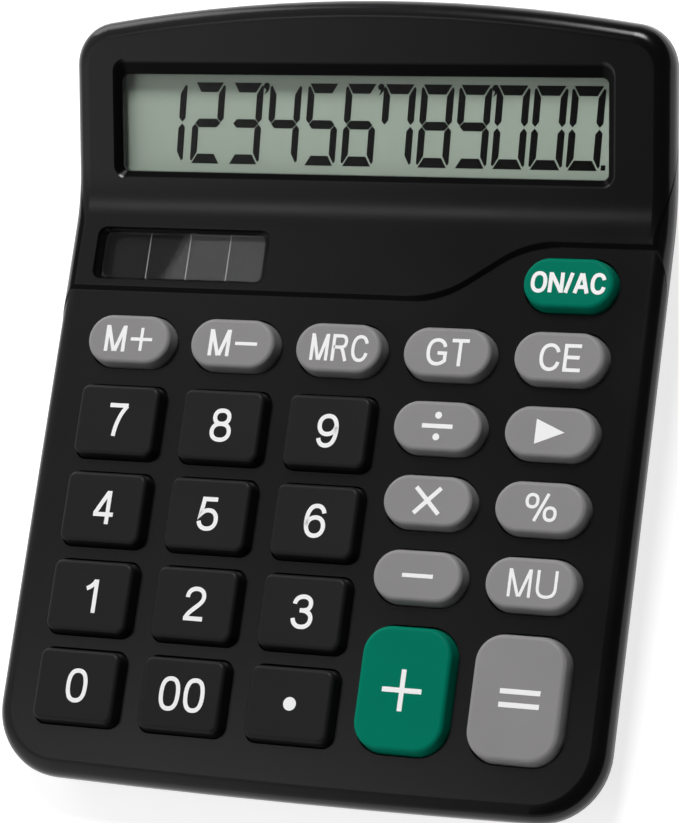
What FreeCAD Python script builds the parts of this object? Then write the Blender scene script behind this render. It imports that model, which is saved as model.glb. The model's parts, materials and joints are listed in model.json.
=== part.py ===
import FreeCAD, Part
import math
import os
import re
import Sketcher

# Desk calculator: a wedge-shaped case with a sloping keyboard, a steeper display panel
# behind it, 26 keys over a rubber dome sheet, a solar cell and one AA cell.
#
# Frames: the keyboard frame has X to the right, Y towards the display and Z out of the
# key tops; Z = 0 is the plane of the key tops and Y = 0 the centre of the divide key.
# The panel frame is the same turned up by panel_angle about the bend line; its Y runs
# up the display panel and its Z = 0 is the panel's surface.
# The part's own frame stands on the desk: Z = 0 is the desk under the rubber feet.

doc = FreeCAD.newDocument("desk_calculator")
dims = doc.addObject("Spreadsheet::Sheet", "Dims")

DRIVING_DIMENSIONS = [
    # case, outside
    ("half_width", 58.7, "half the width of the case"),
    ("front_reach", 68.3, "from the divide key to the middle of the front edge"),
    ("front_bow", 2150.0, "radius of the bowed front edge"),
    ("front_corner", 13.0, "radius of the front corners"),
    ("bend_place", 41.3, "from the divide key to the bend line"),
    ("bend_radius", 27.0, "radius of the hollow bend between shelf and panel"),
    ("panel_angle", 21.5, "slope of the display panel over the keyboard"),
    ("panel_reach", 36.8, "from the bend line to the top of the panel"),
    ("panel_bow", 330.0, "radius of the arched top edge"),
    ("panel_corner", 8.0, "radius of the top corners"),
    ("shelf_depth", 2.0, "key tops above the shelf"),
    ("deck_drop", 0.5, "step from the shelf down to the key deck"),
    ("skirt", 4.5, "height of the top case's edge"),
    ("edge_round", 3.3, "rounding of the shelf and panel edge"),
    ("deck_round", 3.0, "rounding of the key deck edge"),
    ("wall", 2.0, "wall thickness of both cases"),
    ("seam", 0.3, "shadow gap between the two cases"),
    ("draft", 20.0, "inward lean of the bottom case's walls"),
    ("base_inset", 0.4, "set-back of the bottom case under the top case"),
    ("rear_reach", 71.7, "from the origin to the bottom case's rear wall"),
    ("rear_bow", 371.0, "radius of the bowed rear wall"),
    ("base_edge", 1.2, "rounding of the base's lower edge"),
    ("tilt", 6.0, "slope of the keyboard over the desk"),
    ("rise", 22.6, "height of the key tops over the desk at the divide key"),
    ("centring", -4.32, "shift that puts the origin under the middle"),
    ("base_height", 1.5, "height of the base over the desk"),
    # the step between deck and shelf
    ("step_low", 23.2, "place of the step on the left"),
    ("step_high", 34.1, "place of the step on the right"),
    ("step_start", 11.5, "where the step leaves the left run"),
    ("step_radius", 18.9, "radius of both step curves"),
    ("step_angle", 35.0, "slope of the run between the curves"),
    ("step_run", 7.08, "length of the run between the curves"),
    ("step_lean", 1.2, "width of the sloping face of the step"),
    # keys
    ("column_pitch", 21.0, "spacing of the key columns"),
    ("pill_pitch", 13.55, "spacing of the rows of oval keys"),
    ("number_pitch", 16.55, "spacing of the rows of number keys"),
    ("number_offset", -1.9, "place of the top row of number keys"),
    ("tall_offset", -47.2, "place of the two tall keys"),
    ("number_width", 15.8, "width of a number key's top"),
    ("number_length", 13.0, "length of a number key's top"),
    ("number_corner", 1.5, "corner radius of a number key"),
    ("pill_width", 16.5, "width of an oval key's top"),
    ("pill_length", 9.0, "length of an oval key's top"),
    ("tall_length", 21.85, "length of a tall key's top"),
    ("tall_corner", 5.0, "corner radius of a tall key"),
    ("key_draft", 8.0, "lean of the key walls"),
    ("key_edge", 0.8, "rounding of the key tops' edges"),
    ("key_gap", 0.35, "gap between a key and its opening"),
    ("flange_depth", 4.75, "key tops above the top of the flange"),
    ("flange_thick", 0.9, "thickness of the flange that holds a key in"),
    ("flange_lip", 0.75, "reach of the flange past the key wall"),
    ("key_wall", 1.1, "wall thickness of a key"),
    ("stem_radius", 1.9, "radius of the stem that presses the dome"),
    ("stem_depth", 6.55, "key tops above the end of the stem"),
    # board and dome sheet
    ("board_depth", 9.6, "key tops above the circuit board"),
    ("board_thick", 1.2, "thickness of the circuit board"),
    ("board_half", 53.5, "half the width of the circuit board"),
    ("board_front", 58.5, "from the divide key to the board's front edge"),
    ("board_back", 23.5, "from the divide key to the board's back edge"),
    ("tab_back", 33.0, "from the divide key to the back of the board's tab"),
    ("tab_left", 31.0, "from the middle to the tab's left edge"),
    ("sheet_inset", 1.0, "set-back of the dome sheet from the board's edge"),
    ("sheet_back", 18.9, "from the divide key to the dome sheet's back edge"),
    ("sheet_thick", 0.6, "thickness of the dome sheet"),
    ("dome_height", 2.35, "height of a dome over the sheet"),
    ("dome_foot", 4.1, "radius of a dome's foot"),
    ("dome_crown", 2.4, "radius of a dome's crown"),
    ("boss_radius", 1.9, "radius of the bosses that hold the board"),
    ("boss_bore", 0.8, "radius of the holes in the board bosses"),
    # display and solar openings
    ("display_width", 95.8, "width of the display opening"),
    ("display_length", 18.2, "height of the display opening"),
    ("display_place", 14.15, "from the bend line to the middle of the opening"),
    ("display_shift", -1.0, "sideways place of the display opening"),
    ("display_depth", 1.0, "depth of the display window in the panel"),
    ("display_side", 1.5, "slope width of the display recess at the sides"),
    ("display_top", 2.9, "slope width of the display recess at the top"),
    ("display_foot", 1.3, "slope width of the display recess at the bottom"),
    ("solar_width", 32.9, "width of the solar opening"),
    ("solar_length", 9.0, "length of the solar opening"),
    ("solar_across", -35.0, "sideways place of the solar opening"),
    ("solar_place", 30.6, "from the divide key to the solar opening"),
    ("solar_depth", 1.2, "depth of the solar window in the shelf"),
    ("solar_side", 1.2, "slope width of the solar recess at the sides"),
    ("solar_end", 0.6, "slope width of the solar recess at the ends"),
    ("window_corner", 1.2, "corner radius of the openings"),
    ("window_gap", 0.1, "gap between a window and its opening"),
    ("window_flange", 1.0, "thickness of a window's flange"),
    ("window_lip", 1.6, "reach of a window's flange past the opening"),
    # display module, behind the window
    ("glass_width", 98.0, "width of the display glass"),
    ("glass_low", 3.55, "from the bend line to the glass's lower edge"),
    ("glass_high", 24.75, "from the bend line to the glass's upper edge"),
    ("glass_thick", 1.0, "thickness of each display glass"),
    ("glass_ledge", 2.65, "contact ledge of the front glass"),
    ("frame_rim", 1.65, "width of the display frame's rim round the glass"),
    ("frame_lip", 1.0, "reach of the display frame's lip behind the glass"),
    ("frame_thick", 3.4, "thickness of the display frame"),
    ("ribbon_width", 36.0, "width of the display ribbon"),
    ("ribbon_across", -10.0, "sideways place of the display ribbon"),
    ("ribbon_thick", 0.15, "thickness of the display ribbon"),
    ("cell_sheet", 1.1, "thickness of the solar cell"),
    # battery bay
    ("cell_radius", 7.15, "radius of the AA cell"),
    ("cell_length", 49.2, "length of the AA cell's can"),
    ("cell_nub", 1.3, "length of the AA cell's positive button"),
    ("cell_place", 53.3, "from the origin to the AA cell's axis"),
    ("cell_height", 11.6, "height of the AA cell's axis over the desk"),
    ("bay_half", 29.6, "half the inner width of the battery bay"),
    ("bay_front", 45.1, "from the origin to the front of the battery bay"),
    ("bay_back", 62.3, "from the origin to the back wall of the battery bay"),
    ("bay_wall", 1.5, "thickness of the battery bay's walls"),
    ("bay_height", 15.0, "height of the bay's walls over the desk"),
    ("door_half", 26.0, "half the width of the battery door"),
    ("door_front", 45.1, "from the origin to the battery door's front edge"),
    ("door_gap", 0.3, "gap round the battery door"),
    ("door_height", 11.0, "height of the battery door's rear lip"),
    ("wire_radius", 0.55, "radius of the leads"),
    # feet and screws
    ("foot_radius", 4.5, "radius of a rubber foot"),
    ("foot_sink", 0.8, "depth of the pocket that holds a foot"),
    ("foot_front", 55.7, "from the origin to the front feet"),
    ("foot_back", 54.3, "from the origin to the back feet"),
    ("foot_across", 44.0, "place of the front feet to each side"),
    ("foot_across_back", 40.0, "place of the back feet to each side"),
    ("screw_radius", 0.9, "radius of the screws"),
    ("case_head", 2.0, "radius of the case screws' heads"),
    ("board_head", 1.7, "radius of the board screws' heads"),
    ("post_radius", 2.3, "radius of the case screw posts"),
    ("post_front", 61.6, "from the divide key to the front screws"),
    ("post_back", 39.6, "from the divide key to the back screws, between board and display"),
    ("post_across", 31.5, "place of the front screws to each side"),
    ("post_across_back", 42.0, "place of the back screws to each side"),
    ("post_depth", 10.4, "key tops above the end of the front posts"),
    ("post_depth_back", 10.4, "key tops above the end of the back posts"),
    ("head_seat", 1.0, "thickness of the base under a case screw's head"),
]

for line, (alias, number, meaning) in enumerate(DRIVING_DIMENSIONS, start=1):
    dims.set(f"A{line}", alias)
    dims.set(f"B{line}", f"{number}")
    dims.setAlias(f"B{line}", alias)
    dims.set(f"C{line}", meaning)
doc.recompute()

ALIASES = {alias for alias, _, _ in DRIVING_DIMENSIONS}
FAR = 150.0  # reach of a construction solid past the case

X = FreeCAD.Vector(1, 0, 0)
Y = FreeCAD.Vector(0, 1, 0)
Z = FreeCAD.Vector(0, 0, 1)


def bound(text):
    """The expression with each alias written as a cell of the sheet."""
    return re.sub(r"\b[a-z_]+\b", lambda word: f"Dims.{word[0]}" if word[0] in ALIASES else word[0], str(text))


def size(text):
    """The expression's present value in millimetres or degrees."""
    return float(dims.evalExpression(bound(text)))


KEYBOARD = FreeCAD.Placement(
    FreeCAD.Vector(0, size("centring"), size("rise")), FreeCAD.Rotation(X, size("tilt"))
)
PANEL = KEYBOARD.multiply(
    FreeCAD.Placement(
        FreeCAD.Vector(0, size("bend_place"), -size("shelf_depth")), FreeCAD.Rotation(X, size("panel_angle"))
    )
)
DESK = FreeCAD.Placement()
IN_KEYBOARD = KEYBOARD.inverse()


# ---------------------------------------------------------------- sketching


def new_body(label, frame=DESK):
    body = doc.addObject("PartDesign::Body", label)
    body.Label = label
    body.Placement = frame
    return body


def new_sketch(body, name, role="XY_Plane", lift="0"):
    """A sketch on one of the body's own origin planes, lifted along its normal."""
    sketch = body.newObject("Sketcher::SketchObject", name)
    plane = next(f for f in body.Origin.OriginFeatures if f.Role == role)
    sketch.AttachmentSupport = [(plane, "")]
    sketch.MapMode = "FlatFace"
    sketch.setExpression("AttachmentOffset.Base.z", bound(lift))
    return sketch


def draw_loop(sketch, corners, arcs=None):
    """A closed loop through the corners, each held by bound distances from the origin.

    arcs gives an edge a radius and the side it bulges to: 1 is left of the way from its
    corner to the next. A radius of None makes a half circle, held by tangency.
    """
    arcs = arcs or {}
    places = [FreeCAD.Vector(size(x), size(y), 0) for x, y in corners]
    starts = []
    edges = []
    for index, first in enumerate(places):
        last = places[(index + 1) % len(places)]
        if index in arcs:
            radius, side = arcs[index]
            chord = last - first
            half = chord.Length / 2
            reach = half if radius is None else size(radius)
            height = reach - math.sqrt(max(reach * reach - half * half, 0))
            left = FreeCAD.Vector(-chord.y, chord.x, 0).normalize()
            middle = (first + last) * 0.5 + left * (height * side)
            shape = Part.ArcOfCircle(first, middle, last)
            edge = sketch.addGeometry(shape)
            forward = sketch.getPoint(edge, 1).distanceToPoint(first) < 1e-4
        else:
            edge = sketch.addGeometry(Part.LineSegment(first, last))
            forward = True
        edges.append(edge)
        starts.append((1, 2) if forward else (2, 1))
    for index, (x, y) in enumerate(corners):
        edge, point = edges[index], starts[index][0]
        before, end = edges[index - 1], starts[index - 1][1]
        for kind, axis in (("DistanceX", x), ("DistanceY", y)):
            place = sketch.addConstraint(Sketcher.Constraint(kind, -1, 1, edge, point, size(axis)))
            sketch.setExpression(f"Constraints[{place}]", bound(axis))
        half_circle = index in arcs and arcs[index][0] is None
        joint = "Tangent" if half_circle else "Coincident"
        sketch.addConstraint(Sketcher.Constraint(joint, edge, point, before, end))
    for index, (radius, _) in arcs.items():
        if radius is not None:
            place = sketch.addConstraint(Sketcher.Constraint("Radius", edges[index], size(radius)))
            sketch.setExpression(f"Constraints[{place}]", bound(radius))


def draw_box(sketch, left, right, low, high):
    draw_loop(sketch, [(left, low), (right, low), (right, high), (left, high)])


def draw_circle(sketch, x, y, radius):
    circle = sketch.addGeometry(Part.Circle(FreeCAD.Vector(size(x), size(y), 0), Z, size(radius)))
    for kind, axis in (("DistanceX", x), ("DistanceY", y)):
        place = sketch.addConstraint(Sketcher.Constraint(kind, -1, 1, circle, 3, size(axis)))
        sketch.setExpression(f"Constraints[{place}]", bound(axis))
    place = sketch.addConstraint(Sketcher.Constraint("Radius", circle, size(radius)))
    sketch.setExpression(f"Constraints[{place}]", bound(radius))


def draw_rounded(sketch, width, length, corner, x="0", y="0"):
    """A rectangle with rounded corners, or an oval when the corners meet."""
    right, left = f"({x}) + ({width}) / 2", f"({x}) - ({width}) / 2"
    high, low = f"({y}) + ({length}) / 2", f"({y}) - ({length}) / 2"
    r = f"({corner})"
    if 2 * size(corner) > size(length) - 0.01:
        r = f"({length}) / 2"
        corners = [
            (f"{left} + {r}", low), (f"{right} - {r}", low),
            (f"{right} - {r}", high), (f"{left} + {r}", high),
        ]
        draw_loop(sketch, corners, {1: (None, -1), 3: (None, -1)})
        return
    corners = [
        (f"{left} + {r}", low), (f"{right} - {r}", low),
        (right, f"{low} + {r}"), (right, f"{high} - {r}"),
        (f"{right} - {r}", high), (f"{left} + {r}", high),
        (left, f"{high} - {r}"), (left, f"{low} + {r}"),
    ]
    draw_loop(sketch, corners, {edge: (corner, -1) for edge in (1, 3, 5, 7)})


def pad(body, sketch, name, length, taper="0", down=False, centred=False):
    feature = body.newObject("PartDesign::Pad", name)
    feature.Profile = sketch
    feature.setExpression("Length", bound(length))
    if size(taper):
        feature.setExpression("TaperAngle", bound(taper))
    feature.Reversed = down
    feature.Midplane = centred
    return feature


def pocket(body, sketch, name, length, taper="0", up=False):
    """A pocket that must take material away."""
    doc.recompute()
    before = body.Shape.Volume
    feature = body.newObject("PartDesign::Pocket", name)
    feature.Profile = sketch
    feature.setExpression("Length", bound(length))
    if size(taper):
        feature.setExpression("TaperAngle", bound(taper))
    feature.Reversed = up
    doc.recompute()
    if body.Shape.Volume > before - 1e-3:
        raise RuntimeError(f"{body.Label}.{name} cuts nothing")
    return feature


def fillet(body, name, radius, wanted):
    """Rounds the edges of the body's tip that the test picks."""
    doc.recompute()
    tip = body.Tip
    picked = [f"Edge{n}" for n, edge in enumerate(tip.Shape.Edges, start=1) if wanted(edge)]
    feature = body.newObject("PartDesign::Fillet", name)
    feature.Base = (tip, picked)
    feature.setExpression("Radius", bound(radius))
    body.Tip = feature
    return feature


def boolean(kind, name, first, second):
    feature = doc.addObject(kind, name)
    feature.Base = first
    feature.Tool = second
    return feature


def cut(name, first, second):
    return boolean("Part::Cut", name, first, second)


def fuse(name, first, second):
    return boolean("Part::Fuse", name, first, second)


def common(name, *solids):
    feature = doc.addObject("Part::MultiCommon", name)
    feature.Shapes = list(solids)
    return feature


def join(name, *solids):
    feature = doc.addObject("Part::MultiFuse", name)
    feature.Shapes = list(solids)
    return feature


def plain(name, shape, frame=DESK):
    """A piece whose shape is made with Part's own functions from the sheet's sizes."""
    feature = doc.addObject("Part::Feature", name)
    feature.Shape = shape if shape.Placement.isIdentity() else Part.makeCompound([shape])
    feature.Placement = frame
    return feature


def flat_on(edge, axis, place, slack=1e-3):
    """Whether the whole edge lies in the plane axis = place."""
    box = edge.BoundBox
    low, high = getattr(box, axis + "Min"), getattr(box, axis + "Max")
    return abs(low - place) < slack and abs(high - place) < slack


# ---------------------------------------------------------------- envelopes of the case


def side_band(name, top, bottom):
    """The side profile of the case pulled across it, between two depths under its skin."""

    def turn(depth):
        radius = f"(bend_radius + ({depth}))"
        start = "(bend_place - bend_radius * tan(panel_angle / 2))"
        centre = "(bend_radius - shelf_depth)"
        return start, radius, centre

    def bend(depth):
        start, radius, centre = turn(depth)
        first = (start, f"-shelf_depth - ({depth})")
        last = (f"{start} + {radius} * sin(panel_angle)", f"{centre} - {radius} * cos(panel_angle)")
        far = (f"{last[0]} + {FAR} * cos(panel_angle)", f"{last[1]} + {FAR} * sin(panel_angle)")
        return first, last, far

    upper, lower = bend(top), bend(bottom)
    body = new_body(name, KEYBOARD)
    sketch = new_sketch(body, name + "_profile", "YZ_Plane")
    corners = [
        (-FAR, upper[0][1]), upper[0], upper[1], upper[2],
        lower[2], lower[1], lower[0], (-FAR, lower[0][1]),
    ]
    arcs = {1: (turn(top)[1], -1), 5: (turn(bottom)[1], 1)}
    draw_loop(sketch, corners, arcs)
    pad(body, sketch, name + "_across", 2 * FAR, centred=True)
    return body


FRONT = ("half_width", "front_reach", "front_bow", "front_corner")
ARCH = ("half_width", "panel_reach", "panel_bow", "panel_corner")
REAR = ("half_width", "rear_reach", "rear_bow", "panel_corner")
SIDES = ("half_width", "(panel_reach + 60)", "panel_bow", "(2 * front_corner)")


def plan_outline(name, frame, end, form, inset, top, depth, taper="0"):
    """The case seen square to a frame's XY plane, pulled down from a height.

    end is 1 where the rounded end lies up Y and -1 where it lies down Y; form names the
    half width, the reach of the end, its bow and its corner radius. inset moves the whole
    outline inwards by that much.
    """
    half, reach, bow, corner = form
    side = f"({half} - ({inset}))"
    bow_centre = f"({reach} - {bow})"
    span = f"sqrt(({bow} - {corner}) ^ 2 - ({half} - {corner}) ^ 2)"
    share = f"({bow} - ({inset})) / ({bow} - {corner})"
    touch_x = f"({share} * ({half} - {corner}))"
    touch_y = f"({bow_centre} + {share} * {span})"
    turn_y = f"({bow_centre} + {span})"
    body = new_body(name, frame)
    sketch = new_sketch(body, name + "_outline", lift=top)
    corners = [
        (side, -end * FAR),
        (side, f"{end} * {turn_y}"),
        (touch_x, f"{end} * {touch_y}"),
        (f"-{touch_x}", f"{end} * {touch_y}"),
        (f"-{side}", f"{end} * {turn_y}"),
        (f"-{side}", -end * FAR),
    ]
    arcs = {
        1: (f"{corner} - ({inset})", -end),
        2: (f"{bow} - ({inset})", -end),
        3: (f"{corner} - ({inset})", -end),
    }
    draw_loop(sketch, corners, arcs)
    pad(body, sketch, name + "_down", depth, taper=taper, down=True)
    return body


def upper_envelope(name, inset, top, bottom):
    """The top case's outer or inner form: a band under the skin inside the outlines."""
    return common(
        name,
        side_band(name + "_band", top, bottom),
        plan_outline(name + "_front", KEYBOARD, -1, FRONT, inset, 60, FAR),
        plan_outline(name + "_arch", PANEL, 1, ARCH, inset, 60, FAR),
    )


def lower_envelope(name, inset, top, floor):
    """The bottom case's outer or inner form, with side and front walls that lean in."""
    low, high = "25", "55"  # how far above the seam the two tapered outlines start
    grown = {start: f"{inset} + base_inset - {start} * tan(draft)" for start in (low, high)}
    above_floor = doc.addObject("Part::Box", name + "_room")
    above_floor.Length = above_floor.Width = 2 * FAR
    above_floor.Height = FAR
    above_floor.Placement.Base = FreeCAD.Vector(-FAR, -FAR, 0)
    above_floor.setExpression("Placement.Base.z", bound(floor))
    return common(
        name,
        side_band(name + "_band", top, 60),
        plan_outline(name + "_front", KEYBOARD, -1, FRONT, grown[low], f"{low} - shelf_depth - skirt", 53, "-draft"),
        plan_outline(name + "_sides", PANEL, 1, SIDES, grown[high], f"{high} - skirt", 100, "-draft"),
        plan_outline(name + "_rear", DESK, 1, REAR, f"{inset} + base_inset", 60, 80),
        above_floor,
    )


def rim_fillet(name, source, radius, top):
    """Rounds the outer rim of an upper envelope: its side, front and arched edges."""
    doc.recompute()
    deck = -size("shelf_depth") - size(top)
    panel = PANEL.inverse().multiply(KEYBOARD)
    start = size("bend_place - bend_radius * tan(panel_angle / 2)")
    chosen = []
    for number, edge in enumerate(source.Shape.Edges, start=1):
        middle = IN_KEYBOARD.multVec(edge.valueAt((edge.FirstParameter + edge.LastParameter) / 2))
        raised = panel.multVec(middle)
        over_bend = start < middle.y < size("bend_place + 6") and middle.z > deck - 0.1
        on_skin = abs(middle.z - deck) < 0.01 or abs(raised.z + size(top)) < 0.01 or over_bend
        across = abs(middle.x) < 1 and -50 < middle.y < 60
        if on_skin and not across and middle.z > deck - 0.1:
            chosen.append((number, size(radius), size(radius)))
    feature = doc.addObject("Part::Fillet", name)
    feature.Base = source
    feature.Edges = chosen
    return feature


def base_fillet(name, source):
    """Rounds the lower edge of the bottom case, all round."""
    doc.recompute()
    floor = size("base_height")
    chosen = [
        (number, size("base_edge"), size("base_edge"))
        for number, edge in enumerate(source.Shape.Edges, start=1) if flat_on(edge, "Z", floor)
    ]
    feature = doc.addObject("Part::Fillet", name)
    feature.Base = source
    feature.Edges = chosen
    return feature


# ---------------------------------------------------------------- key layout

COLUMNS = {n: f"{n - 3} * column_pitch" for n in range(1, 6)}
PILL_KEYS = {
    "key_on_clear": (5, 2), "key_memory_add": (1, 1), "key_memory_subtract": (2, 1),
    "key_memory_recall": (3, 1), "key_grand_total": (4, 1), "key_clear_entry": (5, 1),
    "key_divide": (4, 0), "key_backspace": (5, 0), "key_multiply": (4, -1),
    "key_percent": (5, -1), "key_minus": (4, -2), "key_mark_up": (5, -2),
}
NUMBER_KEYS = {
    "key_seven": (1, 0), "key_eight": (2, 0), "key_nine": (3, 0),
    "key_four": (1, 1), "key_five": (2, 1), "key_six": (3, 1),
    "key_one": (1, 2), "key_two": (2, 2), "key_three": (3, 2),
    "key_zero": (1, 3), "key_double_zero": (2, 3), "key_decimal_point": (3, 3),
}
TALL_KEYS = {"key_plus": 4, "key_equals": 5}

KEYS = {}
for label, (column, row) in PILL_KEYS.items():
    KEYS[label] = ("pill", COLUMNS[column], f"{row} * pill_pitch")
for label, (column, row) in NUMBER_KEYS.items():
    KEYS[label] = ("number", COLUMNS[column], f"number_offset - {row} * number_pitch")
for label, column in TALL_KEYS.items():
    KEYS[label] = ("tall", COLUMNS[column], "tall_offset")

KEY_TOPS = {
    "pill": ("pill_width", "pill_length", "pill_length / 2"),
    "number": ("number_width", "number_length", "number_corner"),
    "tall": ("pill_width", "tall_length", "tall_corner"),
}


def key_outline(sketch, kind, grow):
    """A key's top outline, grown all round."""
    width, length, corner = KEY_TOPS[kind]
    draw_rounded(sketch, f"{width} + 2 * ({grow})", f"{length} + 2 * ({grow})", f"{corner} + ({grow})")


def keyboard_place(x, y, z="0"):
    return KEYBOARD.multiply(FreeCAD.Placement(FreeCAD.Vector(size(x), size(y), size(z)), FreeCAD.Rotation()))


def build_key(label, kind, x, y):
    """A hollow keycap with a flange that holds it in and a stem over its dome."""
    body = new_body(label, keyboard_place(x, y))
    top = new_sketch(body, label + "_top")
    key_outline(top, kind, "0")
    pad(body, top, label + "_cap", "flange_depth", taper="key_draft", down=True)
    foot = new_sketch(body, label + "_foot", lift="-flange_depth")
    key_outline(foot, kind, "flange_depth * tan(key_draft) + flange_lip")
    pad(body, foot, label + "_flange", "flange_thick", down=True)
    hollow = new_sketch(body, label + "_inside", lift="-flange_depth - flange_thick")
    key_outline(hollow, kind, "-key_wall")
    pocket(body, hollow, label + "_hollow", "flange_depth + flange_thick - key_wall", up=True)
    stem = new_sketch(body, label + "_round", lift="-key_wall / 2")
    draw_circle(stem, "0", "0", "stem_radius")
    pad(body, stem, label + "_stem", "stem_depth - key_wall / 2", down=True)
    fillet(body, label + "_edge", "key_edge", lambda edge: flat_on(edge, "Z", 0))
    return body


def build_key_openings():
    """One tool for the 26 holes in the key deck."""
    tools = {}
    for kind in KEY_TOPS:
        body = new_body("opening_" + kind)
        sketch = new_sketch(body, f"opening_{kind}_outline", lift="0")
        key_outline(sketch, kind, "(shelf_depth + deck_drop) * tan(key_draft) + key_gap")
        pad(body, sketch, f"opening_{kind}_through", "shelf_depth + deck_drop + wall + 0.5", down=True)
        tools[kind] = body
    doc.recompute()
    holes = []
    for kind, x, y in KEYS.values():
        hole = tools[kind].Shape.copy()
        hole.Placement = keyboard_place(x, y)
        holes.append(hole)
    return plain("key_openings", Part.makeCompound(holes))


# ---------------------------------------------------------------- openings for the windows

PANEL_WALL = "(wall + deck_drop)"  # the shelf and panel are thicker than the deck by the step


def rounded_wire(width, length, corner, x, y, z):
    """A flat rounded rectangle as a wire, for the sloping recess walls."""
    face = Part.makePlane(width, length, FreeCAD.Vector(x - width / 2, y - length / 2, z))
    solid = face.extrude(Z)
    uprights = [edge for edge in solid.Edges if abs(edge.tangentAt(edge.FirstParameter).z) > 0.9]
    rounded = solid.makeFillet(corner, uprights)
    bottom = min(rounded.Faces, key=lambda f: f.CenterOfMass.z)
    return bottom.OuterWire


def recess(name, frame, width, length, x, y, depth, side, high, low, corner, surface):
    """A recess with sloping walls round a straight opening through the wall below."""
    reach = 0.6  # how far the tool stands above the surface and below the wall
    slope = (depth + reach) / depth
    outer_width = width + 2 * side * slope
    outer_length = length + (high + low) * slope
    outer_y = y + (high - low) * slope / 2
    outer_corner = corner + min(side, low) * slope
    funnel = Part.makeLoft(
        [
            rounded_wire(width, length, corner, x, y, surface - depth),
            rounded_wire(outer_width, outer_length, outer_corner, x, outer_y, surface + reach),
        ],
        True,
        True,
    )
    face = Part.Face(rounded_wire(width, length, corner, x, y, surface - depth))
    through = face.extrude(Z * -(size(PANEL_WALL) - depth + reach))
    return plain(name, funnel.fuse(through).removeSplitter(), frame)


def build_window(label, frame, width, length, x, y, depth, surface):
    """A clear window: its raised part fills the opening, its flange sits under the wall."""
    body = new_body(label, frame)
    face = new_sketch(body, label + "_face", lift=f"{surface} - ({depth})")
    draw_rounded(face, f"{width} - 2 * window_gap", f"{length} - 2 * window_gap", "window_corner", x, y)
    pad(body, face, label + "_front", f"{PANEL_WALL} - {depth}", down=True)
    back = new_sketch(body, label + "_back", lift=f"{surface} - {PANEL_WALL}")
    draw_rounded(back, f"{width} + 2 * window_lip", f"{length} + 2 * window_lip", "window_corner", x, y)
    pad(body, back, label + "_flange", "window_flange", down=True)
    return body


# ---------------------------------------------------------------- top case


def build_step_tool():
    """Everything behind the step line, leaning back as the step's face does."""
    body_curve_x = "step_radius * sin(step_angle)"
    body_curve_y = "step_radius * (1 - cos(step_angle))"
    first = ("step_start", "step_low")
    second = (f"step_start + {body_curve_x}", f"step_low + {body_curve_y}")
    third = (f"{second[0]} + step_run * cos(step_angle)", f"{second[1]} + step_run * sin(step_angle)")
    fourth = (f"{third[0]} + {body_curve_x}", "step_high")
    corners = [(-FAR, "step_low"), first, second, third, fourth, (FAR, "step_high"), (FAR, FAR), (-FAR, FAR)]
    arcs = {1: ("step_radius", -1), 3: ("step_radius", 1)}
    sketch = doc.addObject("Sketcher::SketchObject", "step_line")
    draw_loop(sketch, corners, arcs)
    doc.recompute()
    face = Part.Face(sketch.Shape.Wires[0])
    lean = size("step_lean / deck_drop")
    low = -size("shelf_depth + deck_drop") - 5
    high = 60
    face.translate(FreeCAD.Vector(0, lean * -5, low))
    return plain("behind_step", face.extrude(FreeCAD.Vector(0, lean * (high - low), high - low)), KEYBOARD)


BOARD_BOSSES = [
    ("-1.5 * column_pitch", "21"),
    ("0.5 * column_pitch", "21"),
    ("1.5 * column_pitch", "pill_pitch / 2"),
    ("-1.5 * column_pitch", "number_offset - 0.5 * number_pitch"),
    ("-0.5 * column_pitch", "number_offset - 1.5 * number_pitch"),
    ("1.5 * column_pitch", "-34"),
    ("-1.5 * column_pitch", "number_offset - 2.5 * number_pitch"),
]
FRONT_POSTS = [(f"{side} * post_across", "-post_front") for side in (-1, 1)]
BACK_POSTS = [(f"{side} * post_across_back", "post_back") for side in (-1, 1)]


def post(x, y, radius, low, high, bore=0.0):
    """An upright post in the keyboard frame, with an optional hole up its middle."""
    foot = FreeCAD.Vector(size(x), size(y), low)
    solid = Part.makeCylinder(radius, high - low, foot)
    if bore:
        solid = solid.cut(Part.makeCylinder(bore, high - low - 1.5, foot))
    return solid


def build_top_case():
    shelf = rim_fillet("shelf_form", upper_envelope("shelf", "0", "0", "skirt"), "edge_round", "0")
    deck = rim_fillet("deck_form", upper_envelope("deck", "0", "deck_drop", "skirt"), "deck_round", "deck_drop")
    skin = fuse("case_skin", deck, common("shelf_behind_step", shelf, build_step_tool()))
    hollow = upper_envelope("top_hollow", "wall", "wall + deck_drop", "skirt + 3")
    shell = cut("top_shell", skin, hollow)
    underside = -size("shelf_depth + deck_drop + wall") + 0.5
    board = -size("board_depth")
    posts = [post(x, y, size("boss_radius"), board, underside, size("boss_bore")) for x, y in BOARD_BOSSES]
    for x, y in FRONT_POSTS:
        posts.append(post(x, y, size("post_radius"), -size("post_depth"), underside, size("screw_radius")))
    for x, y in BACK_POSTS:
        posts.append(post(x, y, size("post_radius"), -size("post_depth_back"), 15, size("screw_radius")))
    inner_posts = plain("top_posts", Part.makeCompound(posts), KEYBOARD)
    limit = upper_envelope("post_limit", "wall / 2", "wall / 2 + deck_drop", "60")
    body = fuse("shell_with_posts", shell, common("top_posts_inside", inner_posts, limit))
    display = recess(
        "display_recess", PANEL, size("display_width"), size("display_length"), size("display_shift"),
        size("display_place"), size("display_depth"), size("display_side"), size("display_top"),
        size("display_foot"), size("window_corner"), 0.0,
    )
    solar = recess(
        "solar_recess", KEYBOARD, size("solar_width"), size("solar_length"), size("solar_across"),
        size("solar_place"), size("solar_depth"), size("solar_side"), size("solar_end"),
        size("solar_end"), size("window_corner"), -size("shelf_depth"),
    )
    openings = join("top_openings", display, solar, build_key_openings())
    top = cut("top_case", body, openings)
    top.Label = "top_case"
    return top


# ---------------------------------------------------------------- bottom case and battery door


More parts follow.
